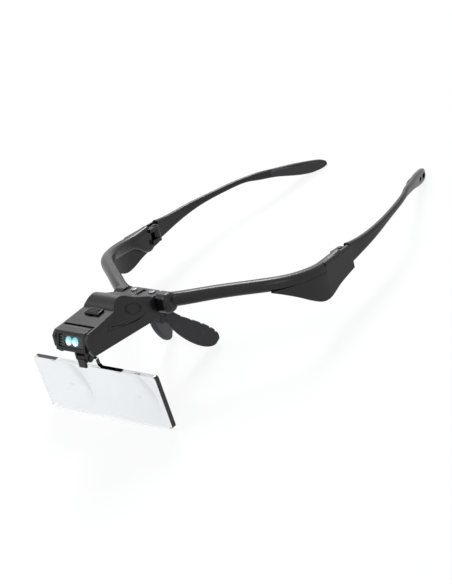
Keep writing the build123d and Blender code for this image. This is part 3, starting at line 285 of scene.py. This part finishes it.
def blank_material(name: str) -> tuple[bpy.types.Material, NodeSheet, bpy.types.Node]:
    """Starts a material.

    Args:
        name: the material's name.

    Returns:
        The material, its nodes, and its Principled BSDF.
    """
    material = bpy.data.materials.new(name)
    material.use_nodes = True
    sheet = NodeSheet(material.node_tree)
    return material, sheet, material.node_tree.nodes["Principled BSDF"]


@dataclass(frozen=True)
class MouldedFinish:
    """Injection-moulded plastic or rubber: grain, uneven shine, softened edges and a little dust."""

    name: str
    colour: Colour
    pale: Colour
    gloss: Gloss
    grain_scale: float = 2400.0
    grain_depth: float = 0.00002
    flow_scale: float = 55.0
    spread: float = 0.14
    edge: float = 0.45
    dust: float = 0.10
    shine: float = 0.5

    def material(self) -> bpy.types.Material:
        """Builds the material, once.

        Returns:
            The material.
        """
        if self.name in bpy.data.materials:
            return bpy.data.materials[self.name]
        material, sheet, shader = blank_material(self.name)
        grain = place_group(sheet, moulded_grain(), {
            "Colour": self.colour,
            "Pale Colour": self.pale,
            "Grain Scale": self.grain_scale,
            "Flow Scale": self.flow_scale,
            "Roughness": self.gloss.value,
            "Spread": self.spread,
        })
        marks = place_group(sheet, handling_marks(), {"Amount": self.dust, "Dust Colour": (0.22, 0.22, 0.23)})
        sheet.join(grain.outputs["Colour"], marks.inputs["Colour"])
        sheet.join(marks.outputs["Colour"], shader.inputs["Base Color"])
        sheet.join(grain.outputs["Roughness"], shader.inputs["Roughness"])
        shader.inputs["Specular IOR Level"].default_value = self.shine
        bump = sheet.add("ShaderNodeBump")
        bump.inputs["Strength"].default_value = 0.35
        bump.inputs["Distance"].default_value = self.grain_depth
        sheet.join(grain.outputs["Height"], bump.inputs["Height"])
        if self.edge:
            soft = sheet.add("ShaderNodeBevel", samples=4)
            soft.inputs["Radius"].default_value = self.edge * MM
            sheet.join(soft.outputs["Normal"], bump.inputs["Normal"])
        sheet.join(bump.outputs["Normal"], shader.inputs["Normal"])
        return material


@dataclass(frozen=True)
class MetalFinish:
    """Plated or rolled metal with a fine brushed grain."""

    name: str
    colour: Colour
    pale: Colour
    gloss: Gloss = Gloss.BRIGHT
    grain_scale: float = 4000.0

    def material(self) -> bpy.types.Material:
        """Builds the material, once.

        Returns:
            The material.
        """
        if self.name in bpy.data.materials:
            return bpy.data.materials[self.name]
        material, sheet, shader = blank_material(self.name)
        grain = place_group(sheet, moulded_grain(), {
            "Colour": self.colour,
            "Pale Colour": self.pale,
            "Grain Scale": self.grain_scale,
            "Flow Scale": 300.0,
            "Roughness": self.gloss.value,
            "Spread": 0.2,
        })
        shader.inputs["Metallic"].default_value = 1.0
        sheet.join(grain.outputs["Colour"], shader.inputs["Base Color"])
        sheet.join(grain.outputs["Roughness"], shader.inputs["Roughness"])
        bump = sheet.add("ShaderNodeBump")
        bump.inputs["Strength"].default_value = 0.3
        bump.inputs["Distance"].default_value = 0.00001
        sheet.join(grain.outputs["Height"], bump.inputs["Height"])
        sheet.join(bump.outputs["Normal"], shader.inputs["Normal"])
        return material


@dataclass(frozen=True)
class ClearFinish:
    """Clear cast acrylic with a faint cool cast, and the slightest waviness of the mould."""

    name: str
    cast: Colour
    index: float = 1.49
    wave_scale: float = 45.0
    wave_depth: float = 0.00001

    def material(self) -> bpy.types.Material:
        """Builds the material, once.

        Returns:
            The material.
        """
        if self.name in bpy.data.materials:
            return bpy.data.materials[self.name]
        material, sheet, shader = blank_material(self.name)
        grain = place_group(sheet, moulded_grain(), {
            "Colour": self.cast,
            "Pale Colour": tuple(min(1.0, c + 0.02) for c in self.cast),
            "Grain Scale": self.wave_scale,
            "Flow Scale": 30.0,
            "Roughness": Gloss.POLISHED.value,
            "Spread": 0.02,
        })
        sheet.join(grain.outputs["Colour"], shader.inputs["Base Color"])
        sheet.join(grain.outputs["Roughness"], shader.inputs["Roughness"])
        shader.inputs["Transmission Weight"].default_value = 1.0
        shader.inputs["IOR"].default_value = self.index
        bump = sheet.add("ShaderNodeBump")
        bump.inputs["Strength"].default_value = 0.2
        bump.inputs["Distance"].default_value = self.wave_depth
        sheet.join(grain.outputs["Height"], bump.inputs["Height"])
        sheet.join(bump.outputs["Normal"], shader.inputs["Normal"])
        return material


@dataclass(frozen=True)
class LitFinish:
    """A lit diode's dome: white at its middle, falling off to blue-green at its rim."""

    name: str
    centre: tuple[float, float, float]
    reach: float
    level: float = 1.0
    core: tuple[float, Colour] = (0.18, (0.93, 0.99, 1.0))
    ring: tuple[float, Colour] = (0.50, (0.42, 0.80, 0.92))
    rim: tuple[float, Colour] = (0.80, (0.05, 0.34, 0.42))

    def material(self) -> bpy.types.Material:
        """Builds the material, once.

        Returns:
            The material.
        """
        if self.name in bpy.data.materials:
            return bpy.data.materials[self.name]
        material, sheet, shader = blank_material(self.name)
        place = sheet.add("ShaderNodeTexCoord").outputs["Object"]
        gap = sheet.add("ShaderNodeVectorMath", operation="DISTANCE")
        gap.inputs[1].default_value = self.centre
        sheet.join(place, gap.inputs[0])
        spot = sheet.math("DIVIDE", gap.outputs["Value"], self.reach)
        ramp = sheet.add("ShaderNodeValToRGB")
        stops = ramp.color_ramp.elements
        (stops[0].position, core), (stops[1].position, rim) = self.core, self.rim
        stops[0].color, stops[1].color = (*core, 1.0), (*rim, 1.0)
        stops.new(self.ring[0]).color = (*self.ring[1], 1.0)
        sheet.join(spot, ramp.inputs["Fac"])
        sheet.join(ramp.outputs["Color"], shader.inputs["Emission Color"])
        shader.inputs["Emission Strength"].default_value = self.level
        shader.inputs["Base Color"].default_value = (0.4, 0.6, 0.66, 1.0)
        shader.inputs["Roughness"].default_value = 0.08
        return material


BODY = MouldedFinish(
    "body_black", (0.004, 0.004, 0.005), (0.009, 0.009, 0.010), Gloss.SATIN, shine=0.36, dust=0.05
)
LAMP = MouldedFinish(
    "lamp_black", (0.004, 0.004, 0.005), (0.008, 0.008, 0.009), Gloss.SATIN,
    edge=0.4, shine=0.34, dust=0.05,
)
SADDLE = MouldedFinish(
    "saddle_rubber", (0.011, 0.011, 0.014), (0.018, 0.018, 0.022), Gloss.MATT,
    grain_scale=3600.0, edge=0.8, dust=0.08,
)
PAD = MouldedFinish(
    "pad_rubber", (0.014, 0.014, 0.016), (0.024, 0.024, 0.026), Gloss.MATT, grain_scale=3600.0
)
DARK = MouldedFinish("inner_black", (0.004, 0.004, 0.004), (0.007, 0.007, 0.007), Gloss.MATT, dust=0.0)
BOARD = MouldedFinish(
    "board_green", (0.012, 0.055, 0.022), (0.02, 0.08, 0.03), Gloss.BRIGHT, edge=0.0, dust=0.0
)
INSERT = MouldedFinish(
    "reflector_dark", (0.03, 0.032, 0.035), (0.06, 0.062, 0.066), Gloss.BRIGHT,
    edge=0.15, dust=0.0, shine=0.7,
)
STEEL = MetalFinish("screw_steel", (0.24, 0.24, 0.26), (0.36, 0.36, 0.38))
PIN = MetalFinish("pin_steel", (0.36, 0.36, 0.38), (0.46, 0.46, 0.47))
BRASS = MetalFinish("contact_brass", (0.66, 0.47, 0.20), (0.76, 0.58, 0.30))
CELL = MetalFinish("cell_nickel", (0.66, 0.65, 0.62), (0.74, 0.73, 0.70))
CLEAR = ClearFinish("lens_clear", (0.84, 0.865, 0.885))


# Modelling by hand, in edit mode


class Bench:
    """The moves that every piece is shaped with."""

    @staticmethod
    def clear() -> None:
        """Leaves nothing selected."""
        for item in bpy.context.view_layer.objects:
            item.select_set(False)

    @staticmethod
    def take(piece: bpy.types.Object) -> bpy.types.Object:
        """Makes one piece the only one selected, and active."""
        Bench.clear()
        piece.select_set(True)
        bpy.context.view_layer.objects.active = piece
        return piece

    @staticmethod
    def new(name: str) -> bpy.types.Object:
        """Names the primitive that was just added.

        Args:
            name: the piece's name.

        Returns:
            The piece.
        """
        piece = bpy.context.active_object
        piece.name = name
        piece.data.name = name
        return Bench.take(piece)

    @staticmethod
    def pick_faces(piece: bpy.types.Object, test: Callable[[bmesh.types.BMFace], bool]) -> None:
        """Selects faces of a piece that is in edit mode.

        Args:
            piece: the piece.
            test: says whether a face is wanted.
        """
        bpy.ops.mesh.select_mode(type="FACE")
        bpy.ops.mesh.select_all(action="DESELECT")
        mesh = bmesh.from_edit_mesh(piece.data)
        for face in mesh.faces:
            face.select_set(test(face))
        bmesh.update_edit_mesh(piece.data)

    @staticmethod
    def pick_edges(piece: bpy.types.Object, test: Callable[[bmesh.types.BMEdge], bool]) -> None:
        """Selects edges of a piece that is in edit mode.

        Args:
            piece: the piece.
            test: says whether an edge is wanted.
        """
        bpy.ops.mesh.select_mode(type="EDGE")
        bpy.ops.mesh.select_all(action="DESELECT")
        mesh = bmesh.from_edit_mesh(piece.data)
        for edge in mesh.edges:
            edge.select_set(test(edge))
        bmesh.update_edit_mesh(piece.data)

    @staticmethod
    def modify(piece: bpy.types.Object, kind: str, **settings: object) -> None:
        """Adds a modifier and applies it.

        Args:
            piece: the piece.
            kind: the modifier's type.
            settings: its properties, by name.
        """
        Bench.take(piece)
        modifier = piece.modifiers.new(kind.lower(), kind)
        for name, value in settings.items():
            setattr(modifier, name, value)
        bpy.ops.object.modifier_apply(modifier=modifier.name)

    @staticmethod
    def place(piece: bpy.types.Object, matrix: Matrix) -> None:
        """Carries a piece to its place and leaves its object at the origin.

        Args:
            piece: the piece.
            matrix: where its own axes go.
        """
        Bench.take(piece)
        piece.matrix_world = matrix
        bpy.ops.object.transform_apply(location=True, rotation=True, scale=True)
        bpy.ops.object.mode_set(mode="EDIT")
        bpy.ops.mesh.select_all(action="SELECT")
        bpy.ops.mesh.normals_make_consistent(inside=False)
        bpy.ops.object.mode_set(mode="OBJECT")

    @staticmethod
    def smooth(piece: bpy.types.Object, degrees: float = 35.0) -> None:
        """Shades a piece smooth, apart from edges sharper than an angle."""
        Bench.take(piece)
        bpy.ops.object.shade_smooth_by_angle(angle=math.radians(degrees))

    @staticmethod
    def dress(piece: bpy.types.Object, material: bpy.types.Material) -> None:
        """Gives the whole piece one material."""
        piece.data.materials.clear()
        piece.data.materials.append(material)

    @staticmethod
    def copy(piece: bpy.types.Object, name: str) -> bpy.types.Object:
        """Copies a piece with a mesh of its own.

        Args:
            piece: the piece.
            name: the copy's name.

        Returns:
            The copy.
        """
        twin = piece.copy()
        twin.data = piece.data.copy()
        twin.name = name
        twin.data.name = name
        bpy.context.scene.collection.objects.link(twin)
        return twin


# The worn frame


@dataclass(frozen=True)
class WornFrame:
    """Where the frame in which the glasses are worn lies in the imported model."""

    matrix: Matrix

    @classmethod
    def from_joints(cls, joints: list[dict], hinge: tuple[float, float, float]) -> "WornFrame":
        """Reads the frame from the joints whose axes are its own.

        Args:
            joints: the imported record's joints.
            hinge: the left temple hinge in the worn frame, in millimetres.

        Returns:
            The frame.
        """
        named = {joint["name"]: joint for joint in joints}
        up = Vector(named["temple_fold_left"]["axis"])
        back = Vector(named["battery_cover_slide"]["axis"])
        turn = Matrix((back.cross(up), back, up)).transposed()
        start = Vector(named["temple_fold_left"]["pos_m"]) - turn @ (Vector(hinge) * MM)
        return cls(Matrix.Translation(start) @ turn.to_4x4())

    def at(self, x: float, y: float, z: float) -> Vector:
        """A worn place, in millimetres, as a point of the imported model, in metres."""
        return self.matrix @ (Vector((x, y, z)) * MM)

    def frame_at(self, origin: Vector, along: Vector, up: Vector) -> Matrix:
        """A piece's own axes at a place of the glasses.

        Args:
            origin: the place, in worn millimetres.
            along: its X axis, in the worn frame.
            up: its Y axis, in the worn frame.

        Returns:
            The matrix that carries a mesh in metres there.
        """
        first, second = along.normalized(), up.normalized()
        turn = Matrix((first, second, first.cross(second))).transposed().to_4x4()
        return self.matrix @ Matrix.Translation(origin * MM) @ turn


def dress_nodes(
    nodes: dict[str, bpy.types.Object], names: tuple[str, ...], material: bpy.types.Material
) -> None:
    """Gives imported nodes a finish.

    Args:
        nodes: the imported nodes, by name.
        names: the nodes to dress.
        material: their material.
    """
    for name in names:
        Bench.dress(nodes[name], material)
        log.info("dressed %s with %s", name, material.name)


# Sub-assemblies


@dataclass
class Spectacles:
    """The brow frame with its side pieces, hinges and folding arms."""

    shells: tuple[str, ...] = (
        "brow_frame", "side_piece_left", "side_piece_right", "temple_left", "temple_right",
    )
    pads: tuple[str, ...] = ("temple_pad_left", "temple_pad_right")

    def build(self, nodes: dict[str, bpy.types.Object]) -> None:
        """Dresses the frame's nodes.

        Args:
            nodes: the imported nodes, by name.
        """
        dress_nodes(nodes, self.shells, BODY.material())
        dress_nodes(nodes, self.pads, PAD.material())
        dress_nodes(nodes, ("side_screws",), PIN.material())
        dress_nodes(nodes, ("hinge_pins",), BODY.material())


@dataclass
class NoseRest:
    """The soft saddle on its bracket."""

    def build(self, nodes: dict[str, bpy.types.Object]) -> None:
        """Dresses the nose rest's nodes.

        Args:
            nodes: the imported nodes, by name.
        """
        dress_nodes(nodes, ("nose_saddle",), SADDLE.material())
        dress_nodes(nodes, ("nose_bracket",), BODY.material())
        dress_nodes(nodes, ("nose_screw",), PIN.material())


@dataclass
class CrossScrew:
    """A pan-headed screw with a cross recess, drawn head up at the origin."""

    radius: float
    height: float
    slot_share: float = 0.62
    slot_width_share: float = 0.2
    depth_share: float = 0.7
    round_share: float = 0.55
    taper: float = 0.55

    def build(self, name: str) -> bpy.types.Object:
        """Models the head.

        Args:
            name: the piece's name.

        Returns:
            The head, its seat at z 0.
        """
        top = self.height * MM
        Bench.clear()
        bpy.ops.mesh.primitive_cylinder_add(
            vertices=40, radius=self.radius * MM, depth=top, location=(0, 0, top / 2)
        )
        head = Bench.new(name)
        bpy.ops.object.transform_apply(location=True)
        bpy.ops.object.mode_set(mode="EDIT")
        Bench.pick_edges(head, lambda e: all(abs(v.co.z - top) < 1e-6 for v in e.verts))
        bpy.ops.mesh.bevel(offset=top * self.round_share, segments=5, profile=0.5, affect="EDGES")
        bpy.ops.object.mode_set(mode="OBJECT")
        for turn in (0.0, math.pi / 2):
            Bench.clear()
            bpy.ops.mesh.primitive_cube_add(size=1.0, location=(0, 0, top))
            slot = Bench.new("slot")
            slot.scale = (
                2 * self.radius * self.slot_share * MM,
                2 * self.radius * self.slot_width_share * MM,
                2 * self.height * self.depth_share * MM,
            )
            slot.rotation_euler = (0, 0, turn)
            bpy.ops.object.transform_apply(location=False, rotation=True, scale=True)
            bpy.ops.object.mode_set(mode="EDIT")
            Bench.pick_faces(slot, lambda f: f.normal.z < -0.5)
            bpy.ops.transform.resize(value=(self.taper, self.taper, 1.0))
            bpy.ops.object.mode_set(mode="OBJECT")
            Bench.modify(head, "BOOLEAN", object=slot, operation="DIFFERENCE", solver="EXACT")
            bpy.data.objects.remove(slot)
        Bench.smooth(head)
        return head


@dataclass
class LampHousing:
    """The housing with its raised flank lines, switch pad, dock and screws."""

    flank_low: Place = (13.3, 2.7)
    flank_high: Place = (9.4, 12.9)
    oval_middle: Place = (-51.6, 6.0)
    oval_turn: float = -20.0
    oval_halves: tuple[Place, ...] = ((5.3, 3.1), (4.4, 2.3))
    sweeps: tuple[tuple[Place, Place, Place, Place], ...] = (
        ((-72.0, 2.6), (-65.0, 0.8), (-57.0, -0.9), (-49.5, -0.6)),
        ((-71.2, 3.9), (-66.5, 2.8), (-61.5, 1.9), (-56.6, 1.2)),
        ((-70.4, 5.1), (-67.0, 4.1), (-62.6, 3.6), (-58.4, 3.4)),
    )
    bead: float = 0.32
    stand_off: float = 6.0
    dock_screw: CrossScrew = field(default_factory=lambda: CrossScrew(radius=1.9, height=0.9))
    dock_screw_aside: float = 6.7
    dock_screw_back: float = -31.5
    dock_screw_turn: float = 0.35
    shells: tuple[str, ...] = (
        "housing_top", "housing_base", "battery_cover", "lamp_dock", "switch_slider",
    )
    brass: tuple[str, ...] = (
        "contact_plate", "contact_leaf", "contact_strip_left", "contact_strip_right",
    )
    cells: tuple[str, ...] = ("button_cell_1", "button_cell_2", "button_cell_3")

    def flank_matrix(self, worn: WornFrame) -> Matrix:
        """The left flank's own axes, off the flank: backwards, up the slope, and outwards.

        Args:
            worn: the worn frame.

        Returns:
            The matrix, its origin beside the middle of the oval.
        """
        low, high = self.flank_low, self.flank_high
        lean = (high[0] - low[0]) / (high[1] - low[1])
        middle = Vector((low[0] + self.stand_off, *self.oval_middle))
        return worn.frame_at(middle, Vector((0, 1, 0)), Vector((lean, 0, 1)))

    def ring(self, name: str, half_length: float, half_height: float) -> bpy.types.Object:
        """A flat ellipse of edges about the origin.

        Args:
            name: the piece's name.
            half_length: half its length, in millimetres.
            half_height: half its height, in millimetres.

        Returns:
            The ellipse.
        """
        Bench.clear()
        bpy.ops.mesh.primitive_circle_add(vertices=96, radius=MM)
        wire = Bench.new(name)
        bpy.ops.object.mode_set(mode="EDIT")
        bpy.ops.mesh.select_all(action="SELECT")
        bpy.ops.transform.resize(value=(half_length, half_height, 1.0))
        bpy.ops.object.mode_set(mode="OBJECT")
        wire.rotation_euler.z = math.radians(self.oval_turn)
        bpy.ops.object.transform_apply(location=False, rotation=True, scale=True)
        return wire

    def sweep(self, name: str, points: tuple[Place, Place, Place, Place]) -> bpy.types.Object:
        """A flat bowed line of edges.

        Args:
            name: the piece's name.
            points: its front end, two pulls and rear end, in worn Y and Z.

        Returns:
            The line.
        """
        Bench.clear()
        bpy.ops.curve.primitive_bezier_curve_add()
        wire = Bench.new(name)
        wire.data.resolution_u = 40
        here = [Vector((y - self.oval_middle[0], z - self.oval_middle[1], 0)) * MM for y, z in points]
        first, last = wire.data.splines[0].bezier_points
        for point in (first, last):
            point.handle_left_type = point.handle_right_type = "FREE"
        first.co, first.handle_left, first.handle_right = here[0], here[0], here[1]
        last.co, last.handle_left, last.handle_right = here[3], here[2], here[3]
        bpy.ops.object.convert(target="MESH")
        return Bench.take(bpy.context.active_object)

    def lay_bead(self, wire: bpy.types.Object, matrix: Matrix, shell: bpy.types.Object) -> bpy.types.Object:
        """Presses a line of edges on to the shell and makes it a round raised bead.

        Args:
            wire: the flat line.
            matrix: where its own axes go.
            shell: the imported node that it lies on.

        Returns:
            The bead.
        """
        wire.matrix_world = matrix
        Bench.modify(
            wire, "SHRINKWRAP", target=shell, wrap_method="PROJECT", use_project_z=True,
            use_positive_direction=False, use_negative_direction=True,
        )
        Bench.take(wire)
        bpy.ops.object.transform_apply(location=True, rotation=True, scale=True)
        bpy.ops.object.convert(target="CURVE")
        line = bpy.context.active_object
        line.data.bevel_depth = self.bead * MM
        line.data.bevel_resolution = 3
        line.data.use_fill_caps = True
        bpy.ops.object.convert(target="MESH")
        bead = Bench.take(bpy.context.active_object)
        bpy.ops.object.mode_set(mode="EDIT")
        bpy.ops.mesh.select_all(action="SELECT")
        bpy.ops.mesh.remove_doubles(threshold=1e-6)
        bpy.ops.mesh.normals_make_consistent(inside=False)
        bpy.ops.object.mode_set(mode="OBJECT")
        return bead

    def flank_marks(self, nodes: dict[str, bpy.types.Object], worn: WornFrame) -> list[bpy.types.Object]:
        """The bare oval and the lines that sweep forward from it, on both flanks.

        Args:
            nodes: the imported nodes, by name.
            worn: the worn frame.

        Returns:
            The pieces.
        """
        wires = [self.ring(f"flank_oval_{n}", *halves) for n, halves in enumerate(self.oval_halves, start=1)]
        wires += [self.sweep(f"flank_sweep_{n}", points) for n, points in enumerate(self.sweeps, start=1)]
        marks = []
        for wire in wires:
            bead = self.lay_bead(wire, self.flank_matrix(worn), nodes["housing_top"])
            twin = Bench.copy(bead, f"{bead.name}_right")
            bead.name = bead.data.name = f"{bead.name}_left"
            Bench.place(twin, Matrix.Diagonal((-1, 1, 1, 1)))
            marks += [bead, twin]
        for mark in marks:
            Bench.smooth(mark, 60.0)
            Bench.dress(mark, LAMP.material())
            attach(mark, "frame")
            log.info("made %s", mark.name)
        return marks

    def screw_heads(self, worn: WornFrame) -> list[bpy.types.Object]:
        """The two bright screw heads that show on the dock.

        Args:
            worn: the worn frame.

        Returns:
            The heads.
        """
        low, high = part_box("dock_screws")
        first = self.dock_screw.build("dock_screw_head_left")
        heads = [first, Bench.copy(first, "dock_screw_head_right")]
        top = worn.matrix.inverted() @ Vector((0, (low.y + high.y) / 2, high.z)) / MM
        for head, side in zip(heads, Side):
            seat = Vector((
                side.value * self.dock_screw_aside, self.dock_screw_back, top.z - self.dock_screw.height
            ))
            turn = self.dock_screw_turn * side.value
            Bench.place(head, worn.frame_at(seat, Vector((1, turn, 0)), Vector((-turn, 1, 0))))
            Bench.smooth(head)
            Bench.dress(head, STEEL.material())
            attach(head, "frame")
            log.info("made %s", head.name)
        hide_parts("dock_screws")
        return heads

    def build(self, nodes: dict[str, bpy.types.Object], worn: WornFrame) -> None:
        """Dresses the housing's nodes and makes its own pieces.

        Args:
            nodes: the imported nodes, by name.
            worn: the worn frame.
        """
        dress_nodes(nodes, self.shells, LAMP.material())
        dress_nodes(nodes, ("housing_screws",), PIN.material())
        dress_nodes(nodes, ("switch_body",), DARK.material())
        dress_nodes(nodes, ("circuit_board",), BOARD.material())
        dress_nodes(nodes, self.brass, BRASS.material())
        dress_nodes(nodes, self.cells, CELL.material())
        self.flank_marks(nodes, worn)
        self.screw_heads(worn)


@dataclass
class TiltingLight:
    """The tilting head with its reflector and two lit diodes."""

    glow_reach: float = 3.375

    def build(self, nodes: dict[str, bpy.types.Object]) -> None:
        """Dresses the head's nodes and lights the diodes.

        Args:
            nodes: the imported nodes, by name.
        """
        dress_nodes(nodes, ("lamp_head",), LAMP.material())
        dress_nodes(nodes, ("head_axles",), PIN.material())
        dress_nodes(nodes, ("led_board",), BOARD.material())
        dress_nodes(nodes, ("reflector",), INSERT.material())
        for side in Side:
            node = f"led_{side.word}"
            low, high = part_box(node)
            front = ((low.x + high.x) / 2, low.y, (low.z + high.z) / 2)
            lit = LitFinish(f"diode_lit_{side.word}", front, self.glow_reach * MM)
            Bench.dress(nodes[node], lit.material())
            log.info("dressed %s", node)


@dataclass
class Magnifier:
    """The clear lens plate in its latch."""

    def build(self, nodes: dict[str, bpy.types.Object]) -> None:
        """Dresses the lens and its holder.

        Args:
            nodes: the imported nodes, by name.
        """
        dress_nodes(nodes, ("lens_plate",), CLEAR.material())
        dress_nodes(nodes, ("lens_holder",), BODY.material())
        dress_nodes(nodes, ("holder_pin",), BODY.material())


# Studio


@dataclass
class Studio:
    """A pale floor, soft lamps, a plain world, and the camera at the photograph's angle."""

    camera_place: tuple[float, float, float] = (0.89778553, -0.72175577, 0.62693448)
    camera_right: tuple[float, float, float] = (0.71578345, 0.60843319, -0.34272892)
    camera_up: tuple[float, float, float] = (-0.10284783, 0.57728671, 0.8100385)
    camera_back: tuple[float, float, float] = (0.69070716, -0.54456322, 0.47578831)
    focal_length: float = 147.866
    sensor: float = 36.0
    floor_size: float = 6.0
    floor_drop: float = 0.0002
    floor_paper: Colour = (0.9, 0.905, 0.91)
    sky_light: Colour = (0.42, 0.43, 0.44)
    backdrop: Colour = (1.03, 1.03, 1.03)
    shadow_share: float = 0.16
    aim: tuple[float, float, float] = (0.0, 0.0, 0.02)
    lamps: tuple[tuple[str, tuple[float, float, float], float, float], ...] = (
        ("key", (-0.9, -0.9, 1.5), 0.7, 8.0),
        ("fill", (1.3, -0.6, 0.9), 0.6, 3.0),
        ("rim", (-0.9, 1.1, 1.2), 0.6, 22.0),
    )

    def lamp(self, name: str, place: Vector, size: float, energy: float) -> bpy.types.Object:
        """Adds a square soft lamp that faces the glasses.

        Args:
            name: the lamp's name.
            place: where it hangs, in metres.
            size: its edge, in metres.
            energy: its power, in watts.

        Returns:
            The lamp.
        """
        data = bpy.data.lights.new(name, "AREA")
        data.energy = energy
        data.size = size
        lamp = bpy.data.objects.new(name, data)
        lamp.location = place
        lamp.rotation_euler = (Vector(self.aim) - place).to_track_quat("-Z", "Y").to_euler()
        bpy.context.scene.collection.objects.link(lamp)
        return lamp

    def seen_share(self, sheet: NodeSheet) -> bpy.types.NodeSocket:
        """One where the camera, a reflection or a clear piece looks at a surface, and nought for light.

        Args:
            sheet: the nodes of the material or world.

        Returns:
            The share.
        """
        path = sheet.add("ShaderNodeLightPath")
        seen = sheet.math("MAXIMUM", path.outputs["Is Camera Ray"], path.outputs["Is Glossy Ray"])
        return sheet.math("MAXIMUM", seen, path.outputs["Is Transmission Ray"])

    def floor(self) -> bpy.types.Object:
        """Lays the pale floor, white where it is seen and softly shaded under the glasses.

        Returns:
            The floor.
        """
        Bench.clear()
        bpy.ops.mesh.primitive_plane_add(size=self.floor_size)
        floor = Bench.new("floor")
        floor.location.z = -self.floor_drop
        material, sheet, shader = blank_material("floor_paper")
        shader.inputs["Base Color"].default_value = (*self.floor_paper, 1.0)
        shader.inputs["Roughness"].default_value = 0.9
        shader.inputs["Specular IOR Level"].default_value = 0.0
        glow = sheet.add("ShaderNodeEmission")
        glow.inputs["Color"].default_value = (*self.backdrop, 1.0)
        share = sheet.math("MULTIPLY", self.seen_share(sheet), 1.0 - self.shadow_share)
        mix = sheet.add("ShaderNodeMixShader")
        sheet.join(share, mix.inputs[0])
        sheet.join(shader.outputs[0], mix.inputs[1])
        sheet.join(glow.outputs[0], mix.inputs[2])
        output = material.node_tree.nodes["Material Output"]
        sheet.join(mix.outputs[0], output.inputs["Surface"])
        Bench.dress(floor, material)
        return floor

    def world(self) -> None:
        """Sets a plain pale world."""
        world = bpy.data.worlds.new("studio")
        world.use_nodes = True
        sheet = NodeSheet(world.node_tree)
        sky = world.node_tree.nodes["Background"]
        share = self.seen_share(sheet)
        sheet.join(sheet.blend(share, self.sky_light, self.backdrop), sky.inputs["Color"])
        bpy.context.scene.world = world

    def camera(self) -> bpy.types.Object:
        """Sets up the camera.

        Returns:
            The camera.
        """
        data = bpy.data.cameras.new("camera")
        data.lens = self.focal_length
        data.sensor_width = self.sensor
        data.clip_start, data.clip_end = 0.05, 20.0
        camera = bpy.data.objects.new("camera", data)
        axes = (self.camera_right, self.camera_up, self.camera_back)
        turn = Matrix([Vector(axis) for axis in axes]).transposed()
        camera.matrix_world = Matrix.Translation(self.camera_place) @ turn.to_4x4()
        bpy.context.scene.collection.objects.link(camera)
        bpy.context.scene.camera = camera
        return camera

    def build(self) -> None:
        """Sets the floor, the world, the lamps and the camera."""
        self.camera()
        self.floor()
        self.world()
        for name, place, size, energy in self.lamps:
            self.lamp(name, Vector(place), size, energy)
        bpy.context.scene.view_settings.view_transform = "Standard"


def main() -> None:
    """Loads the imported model, dresses it, and sets the studio."""
    logging.basicConfig(level=logging.INFO, format="%(name)s: %(message)s")
    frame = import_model()
    nodes = frame["nodes"]
    worn = WornFrame.from_joints(frame["joints"], HINGE)
    Studio().build()
    Spectacles().build(nodes)
    NoseRest().build(nodes)
    LampHousing().build(nodes, worn)
    TiltingLight().build(nodes)
    Magnifier().build(nodes)
    Bench.clear()


if __name__ == "__main__":
    main()
